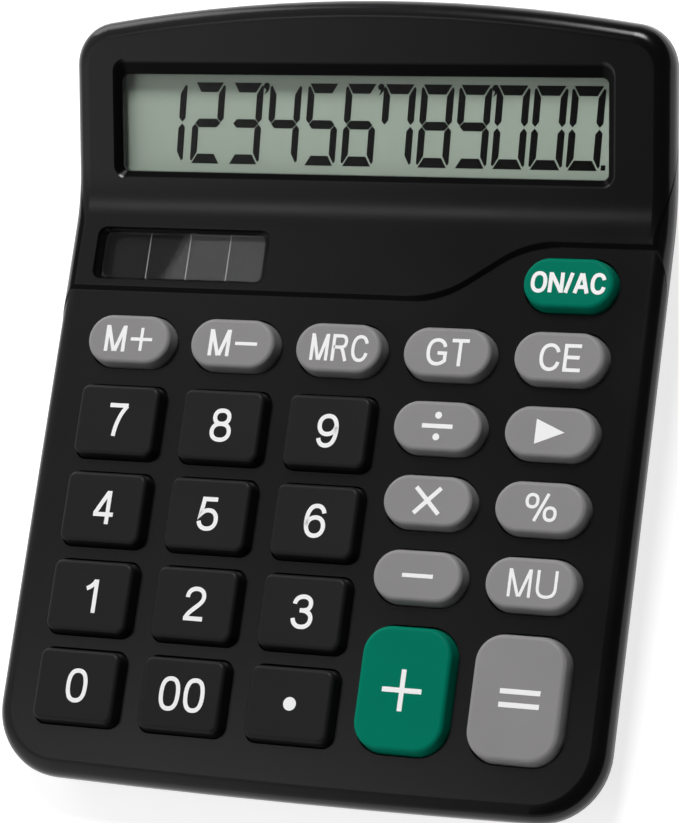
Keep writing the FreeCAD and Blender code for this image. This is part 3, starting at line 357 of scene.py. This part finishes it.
def ribbon_material():
    """Amber film with the lines of its conductors."""
    n = Nodes("ribbon_film")
    wave = n.add("ShaderNodeTexWave", Scale=260.0)
    n.link(n.place, wave.inputs["Vector"])
    line = wave.outputs["Fac"]
    n.drive("Base Color", n.ramp(line, [(0.35, (0.42, 0.16, 0.03, 1)), (0.65, (0.2, 0.06, 0.015, 1))]))
    n.set(Roughness=0.3)
    n.bump(line, 0.02 * MM)
    return n.material


def display_material():
    """The display's gray-green reflecting layer behind polished glass."""
    n = Nodes("display_glass")
    color = (0.51, 0.58, 0.51)
    n.drive("Base Color", n.vary(n.noise(35.0), shade(color, 0.97), shade(color, 1.03)))
    n.drive("Roughness", n.vary(n.noise(3000.0), gray(0.5), gray(0.6)))
    n.set(Specular_IOR_Level=0.2)
    n.bump(n.noise(6000.0), 0.004 * MM)
    return n.material


def solar_material():
    """Nearly black cells behind their glass."""
    n = Nodes("solar_glass")
    color = (0.0042, 0.004, 0.0045)
    n.drive("Base Color", n.vary(n.noise(500.0, 4.0), shade(color, 0.8), shade(color, 1.25)))
    n.drive("Roughness", n.vary(n.noise(900.0), gray(0.28), gray(0.36)))
    n.set(Specular_IOR_Level=0.05)
    n.bump(n.noise(4000.0), 0.003 * MM)
    return n.material


RED_WIRE = (0.35, 0.012, 0.01, 1)
FINE_GRAIN = {"grain": 5200.0, "depth": 0.004 * MM}
materials = {
    "case_plastic": case_material(),
    "base_plastic": moulded("base_plastic", gray(0.0085), roughness=0.5, grain=2600.0, depth=0.022 * MM),
    "clear_plastic": clear("clear_plastic", 0.02, 0.02),
    "board_laminate": board_material(),
    "silicone": moulded(
        "silicone", (0.5, 0.5, 0.47), roughness=0.6, grain=1800.0, depth=0.012 * MM, specular=0.35),
    "resin": moulded("resin", gray(0.006), roughness=0.25, grain=700.0, depth=0.03 * MM),
    "components": parts_by_place("components", [
        (0.0, (0.02, 0.03, 0.10, 1)), (0.48, gray(0.02)), (0.68, (0.5, 0.5, 0.48, 1)), (1.0, gray(0.5)),
    ]),
    "display_glass": display_material(),
    "frame_plastic": moulded(
        "frame_plastic", (0.6, 0.6, 0.57), roughness=0.5, grain=2600.0, depth=0.012 * MM),
    "ribbon_film": ribbon_material(),
    "solar_glass": solar_material(),
    "battery_can": battery_material(),
    "plated_steel": metal("plated_steel", (0.62, 0.6, 0.55), 0.22),
    "wire": parts_by_place("wire", [(0.0, gray(0.012)), (0.5, RED_WIRE), (1.0, RED_WIRE)]),
    "screw_steel": metal("screw_steel", gray(0.5), 0.3),
    "rubber": moulded(
        "rubber", gray(0.012), roughness=0.8, grain=1500.0, depth=0.03 * MM, specular=0.3),
    "green_keycap": moulded(
        "green_keycap", (0.0, 0.187, 0.117), roughness=0.42, specular=0.03, spread=0.03, **FINE_GRAIN),
    "gray_keycap": moulded(
        "gray_keycap", (0.272, 0.265, 0.268), roughness=0.42, specular=0.2, spread=0.03, **FINE_GRAIN),
    "black_keycap": moulded(
        "black_keycap", gray(0.0128), roughness=0.4, specular=0.13, spread=0.04, **FINE_GRAIN),
}
for subpart in frame["record"]["subparts"]:
    mesh = frame["nodes"][subpart["node"]].data
    mesh.materials.clear()
    mesh.materials.append(materials[subpart["material_slot"]])

# The display's window has an anti-glare coating, so it mirrors less than the solar window.
coated = clear("coated_plastic", 0.04, 0.01)
frame["nodes"]["display_window"].data.materials[0] = coated

ink = moulded("key_ink", gray(0.97), roughness=0.45, grain=3000.0, depth=0.004 * MM, spread=0.01)
liquid_crystal = moulded(
    "liquid_crystal", (0.002, 0.002, 0.0018), roughness=0.6, grain=3000.0, depth=0.002 * MM,
    specular=0.05, spread=0.05)
grid_silver = metal("grid_silver", gray(0.42), 0.4)


# ---------------------------------------------------------------- key legends

# Each glyph is (width, path) on a height of 100. M, L and C are the usual path steps, Z
# closes a loop, D is a disc (x, y, radius) and P fills the polygon of its points.
GLYPHS = {
    "0": (68, "M 34 94 C 15 94 6 80 6 50 C 6 20 15 6 34 6 C 53 6 62 20 62 50 C 62 80 53 94 34 94 Z"),
    "1": (44, "M 37 100 L 37 0 M 6 72 C 18 76 30 85 35 98"),
    "2": (66, "M 7 68 C 7 85 18 94 34 94 C 50 94 59.5 85 59.5 71.5 C 59.5 58 49 50 37 40 "
              "C 22 28 10 17 8 6 M 1 6 L 63 6"),
    "3": (66, "M 6 72 C 8 86 18 94 33 94 C 48 94 57 86 57 74.5 C 57 61 48 54 32 54 L 24 54 "
              "M 30 54 C 49 54 61 45 61 30.5 C 61 15 49 6 33 6 C 17 6 7 15 5.5 30"),
    "4": (68, "M 46 98 L 6 31 M 1 29 L 67 29 M 48 0 L 48 100"),
    "5": (66, "M 59 94 L 16 94 L 9.5 49 C 17 57 25 61 34 61 C 50 61 60.5 50 60.5 33.5 "
              "C 60.5 16 49 6 33 6 C 18 6 8 14 5.5 28"),
    "6": (67, "M 60 73 C 57 87 48 94 36 94 C 16 94 6 76 6 46 C 6 20 16 6 34 6 "
              "C 50 6 61 17 61 33 C 61 50 50 60 36 60 C 21 60 8.5 50 8.5 36"),
    "7": (65, "M 2 94 L 63 94 M 60 93 C 42 72 28 40 25 0"),
    "8": (68, "M 34 94 C 19 94 11 86 11 74 C 11 62 20 54 34 54 C 48 54 57 62 57 74 C 57 86 49 94 34 94 Z "
              "M 34 54 C 16 54 6 45 6 30 C 6 15 17 6 34 6 C 51 6 62 15 62 30 C 62 45 52 54 34 54 Z"),
    "9": (67, "M 7 27 C 10 13 19 6 31 6 C 51 6 61 24 61 54 C 61 80 51 94 33 94 "
              "C 17 94 6 83 6 67 C 6 50 17 40 31 40 C 46 40 58.5 50 58.5 64"),
    "M": (84, "M 7 0 L 7 100 M 77 0 L 77 100 M 9 97 L 40 2 M 75 97 L 44 2"),
    "R": (76, "M 7 0 L 7 94 L 42 94 C 57 94 65 86 65 73 C 65 60 57 52 42 52 L 7 52 "
              "M 38 52 C 50 50 53 40 69 1"),
    "C": (76, "M 70 69 C 66 86 55 94 40 94 C 19 94 7 77 7 50 C 7 23 19 6 40 6 C 57 6 68 16 71 34"),
    "G": (82, "M 73 69 C 68 86 57 94 42 94 C 19 94 7 77 7 50 C 7 23 20 6 43 6 "
              "C 55 6 66 11 75 19 L 75 46 L 44 46"),
    "T": (70, "M 35 0 L 35 94 M 1 94 L 69 94"),
    "E": (68, "M 65 94 L 8 94 L 8 6 L 67 6 M 8 52 L 61 52"),
    "O": (84, "M 42 94 C 19 94 7 77 7 50 C 7 23 19 6 42 6 C 65 6 77 23 77 50 C 77 77 65 94 42 94 Z"),
    "N": (78, "M 7 0 L 7 100 M 71 0 L 71 100 M 9 95 L 69 5"),
    "/": (34, "M 2 0 L 32 100"),
    "A": (76, "M 4 0 L 36 99 M 72 0 L 40 99 M 16 31 L 60 31"),
    "U": (76, "M 7 100 L 7 38 C 7 17 18 6 38 6 C 58 6 69 17 69 38 L 69 100"),
    "%": (124, "M 27 94 C 14 94 7 86 7 72 C 7 58 14 50 27 50 C 40 50 47 58 47 72 C 47 86 40 94 27 94 Z "
               "M 97 50 C 84 50 77 42 77 28 C 77 14 84 6 97 6 "
               "C 110 6 117 14 117 28 C 117 42 110 50 97 50 Z "
               "M 40 0 L 86 100"),
    "+": (100, "M 0 50 L 100 50 M 50 0 L 50 100"),
    "-": (100, "M 0 50 L 100 50"),
    "x": (100, "M 2 2 L 98 98 M 2 98 L 98 2"),
    "=": (100, "M 0 66 L 100 66 M 0 34 L 100 34"),
    ":": (100, "M 0 50 L 100 50 D 50 84 11 D 50 16 11"),
    ">": (100, "P 0 0 100 42 0 84"),
    ".": (40, "D 20 50 20"),
}
CURVE_RUNS = 10
DISC_SIDES = 28
LETTER_GAP = 14.0  # on the height of 100
SHARPEST_MITRE = 0.3  # a sharper turn of a stroke is cut short
INK_HEIGHT = 0.03 * MM
LAYER = 0.002 * MM  # the strokes of one legend end at slightly different heights


def circle(radius, sides):
    turns = [math.tau * i / sides for i in range(sides)]
    return [(radius * math.cos(a), radius * math.sin(a)) for a in turns]


def read_path(path):
    """The strokes of a path: (kind, points), with its curves divided into short runs."""
    words = path.split()
    strokes = []
    at = 0
    while at < len(words):
        step = words[at]
        at += 1
        if step == "Z":
            strokes[-1][0] = "loop"
            strokes[-1][1].pop()
            continue
        numbers = []
        while at < len(words) and not words[at].isalpha():
            numbers.append(float(words[at]))
            at += 1
        points = [Vector(pair) for pair in zip(numbers[0::2], numbers[1::2])]
        if step == "M":
            strokes.append(["line", points])
        elif step == "L":
            strokes[-1][1].extend(points)
        elif step == "C":
            first, (a, b, last) = strokes[-1][1][-1], points
            for i in range(1, CURVE_RUNS + 1):
                t = i / CURVE_RUNS
                s = 1 - t
                point = first * s ** 3 + a * (3 * s * s * t) + b * (3 * s * t * t) + last * t ** 3
                strokes[-1][1].append(point)
        elif step == "D":
            x, y, radius = numbers
            rim = [Vector((x + dx, y + dy)) for dx, dy in circle(radius, DISC_SIDES)]
            strokes.append(["fill", rim])
        elif step == "P":
            strokes.append(["fill", points])
    return strokes


def add_prism(bm, corners, low, high):
    """A flat plate over a convex outline."""
    bottom = [bm.verts.new((p.x, p.y, low)) for p in corners]
    top = [bm.verts.new((p.x, p.y, high)) for p in corners]
    bm.faces.new(top)
    bm.faces.new(list(reversed(bottom)))
    for i in range(len(corners)):
        j = (i + 1) % len(corners)
        bm.faces.new((bottom[i], bottom[j], top[j], top[i]))


def add_ribbon(bm, points, half, low, high, loop):
    """A flat band of even width along the points, with mitred turns."""
    count = len(points)
    rails = []
    for i, point in enumerate(points):
        before = points[i - 1] if loop or i else None
        after = points[(i + 1) % count] if loop or i < count - 1 else None
        ends = [(a, b) for a, b in ((before, point), (point, after)) if a is not None and b is not None]
        ways = [(b - a).normalized() for a, b in ends]
        sides = [Vector((-way.y, way.x)) for way in ways]
        side = (sides[0] + sides[-1]).normalized()
        reach = side * (half / max(side.dot(sides[0]), SHARPEST_MITRE))
        edges = (point + reach, point - reach)
        rails.append([bm.verts.new((p.x, p.y, z)) for p in edges for z in (low, high)])
    spans = range(count if loop else count - 1)
    for i in spans:
        a, b = rails[i], rails[(i + 1) % count]
        for m, n in ((1, 3), (3, 2), (2, 0), (0, 1)):
            bm.faces.new((a[m], a[n], b[n], b[m]))
    if not loop:
        bm.faces.new([rails[0][i] for i in (0, 1, 3, 2)])
        bm.faces.new([rails[-1][i] for i in (2, 3, 1, 0)])


def draw_text(bm, text, height, weight, condense):
    """The text in strokes, centred on the origin. Sizes are in metres."""
    scale = height / 100
    width = sum(GLYPHS[c][0] for c in text) * condense + LETTER_GAP * (len(text) - 1)
    x = -width / 2
    layer = 0
    for letter in text:
        for kind, points in read_path(GLYPHS[letter][1]):
            placed = [Vector(((x + p.x * condense) * scale, (p.y - 50) * scale)) for p in points]
            top = INK_HEIGHT + layer * LAYER
            layer += 1
            if kind == "fill":
                add_prism(bm, placed, 0.0, top)
            else:
                add_ribbon(bm, placed, weight / 2, 0.0, top, kind == "loop")
        x += GLYPHS[letter][0] * condense + LETTER_GAP


def build_legend(node, texts):
    """Prints texts on a key, each with its (height, weight, condense, across, along)."""
    bm = bmesh.new()
    for text, (height, weight, condense, across, along) in texts.items():
        part = bmesh.new()
        draw_text(part, text, height * MM, weight * MM, condense)
        bmesh.ops.translate(part, verts=part.verts, vec=(across * MM, along * MM, 0))
        mesh = bpy.data.meshes.new("part")
        part.to_mesh(mesh)
        part.free()
        bm.from_mesh(mesh)
        bpy.data.meshes.remove(mesh)
    bmesh.ops.transform(bm, matrix=face_frame(node), verts=bm.verts)
    new_piece(node.replace("key_", "legend_"), bm, node[4:] + "_key", ink)


# A key's texts: height, weight and place from the key's middle in millimetres, and how far
# the letters are condensed.
NUMERAL = (6.2, 0.80, 0.98, 0.3, 0.0)
LEGENDS = {
    "seven": {"7": NUMERAL}, "eight": {"8": NUMERAL}, "nine": {"9": NUMERAL},
    "four": {"4": NUMERAL}, "five": {"5": NUMERAL}, "six": {"6": NUMERAL},
    "one": {"1": NUMERAL}, "two": {"2": NUMERAL}, "three": {"3": NUMERAL}, "zero": {"0": NUMERAL},
    "double_zero": {"00": (6.2, 0.80, 0.94, 0.3, 0.0)},
    "decimal_point": {".": (6.1, 0.80, 1.0, 0.3, 0.0)},
    "memory_add": {"M": (5.0, 0.72, 1.0, -2.6, 0.0), "+": (4.4, 0.62, 1.0, 2.7, 0.0)},
    "memory_subtract": {"M": (5.0, 0.72, 1.0, -2.4, 0.0), "-": (4.4, 0.62, 1.0, 2.9, 0.0)},
    "memory_recall": {"MRC": (5.0, 0.62, 0.82, 0.3, 0.0)},
    "grand_total": {"GT": (5.0, 0.66, 0.96, 0.2, 0.0)},
    "clear_entry": {"CE": (5.0, 0.66, 0.98, 0.4, -0.1)},
    "divide": {":": (5.8, 0.80, 1.0, 0.1, 0.0)},
    "backspace": {">": (5.4, 0.5, 1.0, 0.2, 0.4)},
    "multiply": {"x": (4.9, 0.80, 1.0, 0.1, 0.0)},
    "percent": {"%": (5.0, 0.58, 0.98, 0.3, 0.0)},
    "minus": {"-": (5.8, 0.72, 1.0, 0.1, 0.0)},
    "mark_up": {"MU": (5.0, 0.55, 1.06, 0.5, 0.0)},
    "on_clear": {"ON/AC": (3.7, 0.72, 0.90, 0.1, 0.0)},
    "plus": {"+": (7.4, 0.90, 1.0, 0.0, -0.3)},
    "equals": {"=": (7.4, 0.90, 1.0, 0.7, -0.1)},
}
for key_name, key_texts in LEGENDS.items():
    build_legend("key_" + key_name, key_texts)


# ---------------------------------------------------------------- display digits

# Sizes of the digits are in millimetres.
DIGIT_WIDTH = 6.35
DIGIT_HEIGHT = 15.1
DIGIT_PITCH = 7.5
DIGIT_SLANT = math.tan(math.radians(5.2))
LAST_DIGIT = 45.95  # the last digit's right edge, from the middle of the window
DIGIT_BULGE = 1.35  # how far the middle digits stand to the right of an even row
MIDDLE_PLACE = 6.0
BAR = 1.8  # thickness of the level segments at the top and bottom
POST = 1.32  # thickness of the upright segments
HALF_MIDDLE = 0.8  # half the thickness of the middle segment
COMMA_RADIUS = 0.62
COMMA_TAIL = [(0.62, 0.0), (0.5, -0.75), (0.1, -1.25), (-0.35, -1.6), (-0.12, -1.0), (0.0, -0.45)]
COMMA_PLACE = 0.55  # right of and below the digit's upper right corner
POINT_WIDTH = 0.85
POINT_HEIGHT = 0.95
SEGMENTS = {
    "0": "abcdef", "1": "bc", "2": "abged", "3": "abgcd", "4": "fgbc", "5": "afgcd",
    "6": "afgecd", "7": "fabc", "8": "abcdefg", "9": "abcdfg",
}


def segment_outlines():
    """The seven segments of an upright digit, by their usual letters."""
    w, h = DIGIT_WIDTH, DIGIT_HEIGHT
    middle = h / 2
    top = [(0.35, h), (w - 0.45, h), (w - 0.45 - BAR * 0.6, h - BAR), (0.35 + BAR * 0.6, h - BAR)]
    bar = [
        (0.6, middle), (1.35, middle + HALF_MIDDLE), (w - 1.35, middle + HALF_MIDDLE),
        (w - 0.6, middle), (w - 1.35, middle - HALF_MIDDLE), (1.35, middle - HALF_MIDDLE),
    ]
    upper = [
        (w, h - 0.75), (w, middle + 0.85), (w - 0.62, middle + 0.15),
        (w - POST, middle + 1.0), (w - POST, h - 2.15), (w - 0.35, h - 0.45),
    ]

    def flipped(points, across, up):
        return [(w - x if across else x, h - y if up else y) for x, y in points]

    return {
        "a": top, "g": bar, "b": upper, "d": flipped(top, False, True), "f": flipped(upper, True, False),
        "c": flipped(upper, False, True), "e": flipped(upper, True, True),
    }


def build_display_digits():
    """The digits, their thousands marks and the point, on the glass under the window."""
    window = face_frame("display_window")
    glass = face_frame("display_panel")
    depth = (window.inverted() @ glass.translation).z
    outlines = segment_outlines()
    low, high = depth + 0.008 * MM, depth + 0.035 * MM
    bm = bmesh.new()

    def plate(points, x, y):
        corners = []
        for px, py in points:
            slanted = x + px + (y + py) * DIGIT_SLANT
            corners.append(Vector((slanted * MM, (y + py) * MM)))
        add_prism(bm, corners, low, high)

    base = -DIGIT_HEIGHT / 2
    for place, digit in enumerate(reversed("123456789000")):
        bulge = 1.0 - ((place - MIDDLE_PLACE) / MIDDLE_PLACE) ** 2
        left = LAST_DIGIT - DIGIT_WIDTH - place * DIGIT_PITCH + DIGIT_BULGE * bulge
        for name in SEGMENTS[digit]:
            plate(outlines[name], left, base)
        if place in (3, 6, 9):
            mark = (left + DIGIT_WIDTH + COMMA_PLACE, base + DIGIT_HEIGHT - COMMA_PLACE)
            plate(circle(COMMA_RADIUS, 20), *mark)
            plate(COMMA_TAIL, *mark)
    point = [(0, 0), (POINT_WIDTH, 0), (POINT_WIDTH, POINT_HEIGHT), (0, POINT_HEIGHT)]
    plate(point, LAST_DIGIT + 0.25, base + 0.1)
    bmesh.ops.transform(bm, matrix=window, verts=bm.verts)
    new_piece("display_digits", bm, "case", liquid_crystal)


build_display_digits()


# ---------------------------------------------------------------- solar cell's grid

GRID_MARGIN = 1.0 * MM  # at each end of the cell
GRID_REACH = 4.6 * MM  # from the cell's middle to the ends of the lines
GRID_HALF = 0.09 * MM
GRID_THICK = 0.02 * MM


def build_solar_grid():
    """The three silver lines between the four cells."""
    low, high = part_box("solar_cell")
    half = (high.x - low.x) / 2 - GRID_MARGIN
    bm = bmesh.new()
    for share in (-0.5, 0.0, 0.5):
        ends = [Vector((half * share, -GRID_REACH)), Vector((half * share, GRID_REACH))]
        add_ribbon(bm, ends, GRID_HALF, 0.0, GRID_THICK, False)
    bmesh.ops.transform(bm, matrix=face_frame("solar_cell"), verts=bm.verts)
    new_piece("solar_grid", bm, "case", grid_silver)


build_solar_grid()


# ---------------------------------------------------------------- rubber domes

DOME_FOOT = 4.1 * MM
DOME_CROWN = 2.4 * MM
DOME_SIDES = 40
RIM_REACH = 0.2 * MM  # how far outside a dome's foot its hole's rim may lie


def dome_levels():
    """Heights along the keys' way: the sheet's underside, its top, and the domes' crowns."""
    up = -PRESS_WAY
    heights = sorted({round(up.dot(v.co), 6) for v in frame["nodes"]["dome_sheet"].data.vertices})
    return heights[0], heights[1], heights[-1]


def build_flat_sheet(top):
    """The dome sheet without its domes: a flat rubber sheet with a hole under each key."""
    up = -PRESS_WAY
    bm = bmesh.new()
    bm.from_mesh(frame["nodes"]["dome_sheet"].data)
    bmesh.ops.remove_doubles(bm, verts=bm.verts, dist=WELD)
    raised = [v for v in bm.verts if up.dot(v.co) > top + 0.01 * MM]
    bmesh.ops.delete(bm, geom=raised, context="VERTS")
    rims = [e for e in bm.edges if len(e.link_faces) == 1]
    for node in KEY_NODES:
        middle = face_frame(node).translation
        near = [e for e in rims if (PRESS_WAY.cross(e.verts[0].co - middle)).length < DOME_FOOT + RIM_REACH]
        bmesh.ops.bridge_loops(bm, edges=near)
    piece = new_piece("dome_sheet_flat", bm, "case", materials["silicone"])
    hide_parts("dome_sheet")


def build_dome(node, low, top, crown):
    """One hollow dome under its key."""
    skin = top - low
    height = crown - top
    profile = [
        (DOME_FOOT, 0.0), (DOME_CROWN, height), (0.0, height),
        (0.0, height - skin), (DOME_CROWN - skin, height - skin), (DOME_FOOT - skin, 0.0),
    ]
    place = face_frame(node)
    depth = top - (-PRESS_WAY).dot(place.translation)
    bm = bmesh.new()
    rings = []
    for radius, rise in profile:
        rim = circle(radius, DOME_SIDES if radius else 1)
        rings.append([bm.verts.new((x, y, depth + rise)) for x, y in rim])
    for i, ring in enumerate(rings):
        following = rings[(i + 1) % len(rings)]
        for j in range(DOME_SIDES):
            corners = [ring[j % len(ring)], ring[(j + 1) % len(ring)]]
            corners += [following[(j + 1) % len(following)], following[j % len(following)]]
            corners = list(dict.fromkeys(corners))
            if len(corners) > 2:
                bm.faces.new(corners)
    bmesh.ops.transform(bm, matrix=place, verts=bm.verts)
    piece = new_piece(node.replace("key_", "dome_"), bm, "case", materials["silicone"])
    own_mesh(piece)


sheet_low, sheet_top, crown_top = dome_levels()
build_flat_sheet(sheet_top)
for key_node in KEY_NODES:
    build_dome(key_node, sheet_low, sheet_top, crown_top)


# ---------------------------------------------------------------- camera

CAMERA_PLACE = Vector((0.23208, -0.18399, 0.54919))
CAMERA_TARGET = Vector((0.00102, -0.00174, 0.02036))
CAMERA_ROLL = math.radians(-45.06)
CAMERA_LENS = 146.85  # for a film 36 mm wide


def build_camera():
    camera = bpy.data.objects.new("camera", bpy.data.cameras.new("camera"))
    scene.collection.objects.link(camera)
    camera.data.lens = CAMERA_LENS
    camera.data.sensor_width = 36.0
    camera.location = CAMERA_PLACE
    aim = (CAMERA_TARGET - CAMERA_PLACE).to_track_quat("-Z", "Y")
    camera.rotation_mode = "QUATERNION"
    camera.rotation_quaternion = aim @ Quaternion((0, 0, 1), CAMERA_ROLL)
    scene.camera = camera
    scene.view_settings.view_transform = "Standard"


build_camera()


# ---------------------------------------------------------------- floor and light

FLOOR_GLOW = 0.78  # lifts the floor to the photo's white
CARD_GLOW = 1.35
CARD_DISTANCE = 1.2
CARD_VIEW = [(-4.6, -6.0), (19.0, -6.0), (19.0, 6.0), (1.1, 6.0)]  # on the solar window, in mm
STRIP_TURN = math.radians(-20.7)  # sets the strip's long side along the bend below the display


def build_floor():
    """Pale paper under the object."""
    bm = bmesh.new()
    bmesh.ops.create_grid(bm, x_segments=8, y_segments=8, size=4.0)
    mesh = bpy.data.meshes.new("floor")
    bm.to_mesh(mesh)
    bm.free()
    floor = bpy.data.objects.new("floor", mesh)
    scene.collection.objects.link(floor)
    n = Nodes("floor_paper")
    n.drive("Base Color", n.vary(n.noise(6.0), gray(0.55), gray(0.57)))
    n.set(Roughness=0.9, Specular_IOR_Level=0.1, Emission_Color=gray(1.0), Emission_Strength=FLOOR_GLOW)
    mesh.materials.append(n.material)


def area_light(name, place, aim_at, width, length, radiance, turn=0.0):
    """A soft box of the given radiance, facing a point."""
    light = bpy.data.lights.new(name, "AREA")
    light.shape = "RECTANGLE"
    light.size, light.size_y = width, length
    light.energy = radiance * math.pi * light.size * light.size_y
    lamp = bpy.data.objects.new(name, light)
    scene.collection.objects.link(lamp)
    lamp.location = place
    lamp.rotation_mode = "QUATERNION"
    facing = (Vector(aim_at) - Vector(place)).to_track_quat("-Z", "Y")
    lamp.rotation_quaternion = facing @ Quaternion((0, 0, 1), turn)
    lamp.visible_camera = False


def build_world():
    """Studio walls: bright near the floor, dark overhead, brighter to the left and in front."""
    world = bpy.data.worlds.new("studio")
    scene.world = world
    world.use_nodes = True
    tree = world.node_tree
    background = tree.nodes["Background"]
    background.inputs["Color"].default_value = gray(1.0)
    place = tree.nodes.new("ShaderNodeTexCoord")
    split = tree.nodes.new("ShaderNodeSeparateXYZ")
    tree.links.new(place.outputs["Generated"], split.inputs[0])
    x, y, z = (split.outputs[axis] for axis in "XYZ")

    low_walls = range_node(tree, z, 0.10, 0.45, 0.55, 0.0, "SMOOTHSTEP")
    left_half = range_node(tree, x, 0.05, 0.45, 1.0, 0.05, "SMOOTHSTEP")
    left_wall = range_node(tree, x, -0.47, -0.27, 0.62, 0.05)
    front = range_node(tree, y, -0.42, -0.10, 1.0, 0.0, "SMOOTHSTEP")
    left_corner = range_node(tree, x, -0.46, -0.30, 0.6, 0.0)
    front_left = math_node(tree, "MULTIPLY", front, left_corner)
    ring = math_node(tree, "MULTIPLY", low_walls, left_half)
    sides = math_node(tree, "ADD", left_wall, front_left)
    walls = math_node(tree, "MAXIMUM", ring, sides)
    tree.links.new(walls, background.inputs["Strength"])


def build_reflector():
    """A bright card that the solar window mirrors on its right side."""
    pane = face_frame("solar_window")
    normal = pane.to_3x3() @ Vector((0, 0, 1))
    bm = bmesh.new()
    corners = []
    for x, y in CARD_VIEW:
        spot = pane @ Vector((x * MM, y * MM, 0))
        view = (CAMERA_PLACE - spot).normalized()
        mirrored = 2 * normal.dot(view) * normal - view
        corners.append(spot + mirrored * CARD_DISTANCE)
    bm.faces.new([bm.verts.new(p) for p in corners])
    mesh = bpy.data.meshes.new("reflector_card")
    bm.to_mesh(mesh)
    bm.free()
    card = bpy.data.objects.new("reflector_card", mesh)
    scene.collection.objects.link(card)
    n = Nodes("reflector_paper")
    n.set(Emission_Color=gray(1.0), Emission_Strength=CARD_GLOW, Roughness=1.0)
    mesh.materials.append(n.material)
    card.visible_camera = False


build_floor()
build_world()
build_reflector()
area_light("soft_box", (-1.69, 1.77, 0.88), (0, 0, 0), 1.3, 1.3, 3.4)
area_light("back_box", (0.0, 1.10, 1.91), (0, 0, 0), 0.7, 0.7, 21.0)
area_light("strip_box", (-1.245, -0.25, 3.0), (0, 0.037, 0.02), 0.25, 0.75, 2.9, STRIP_TURN)
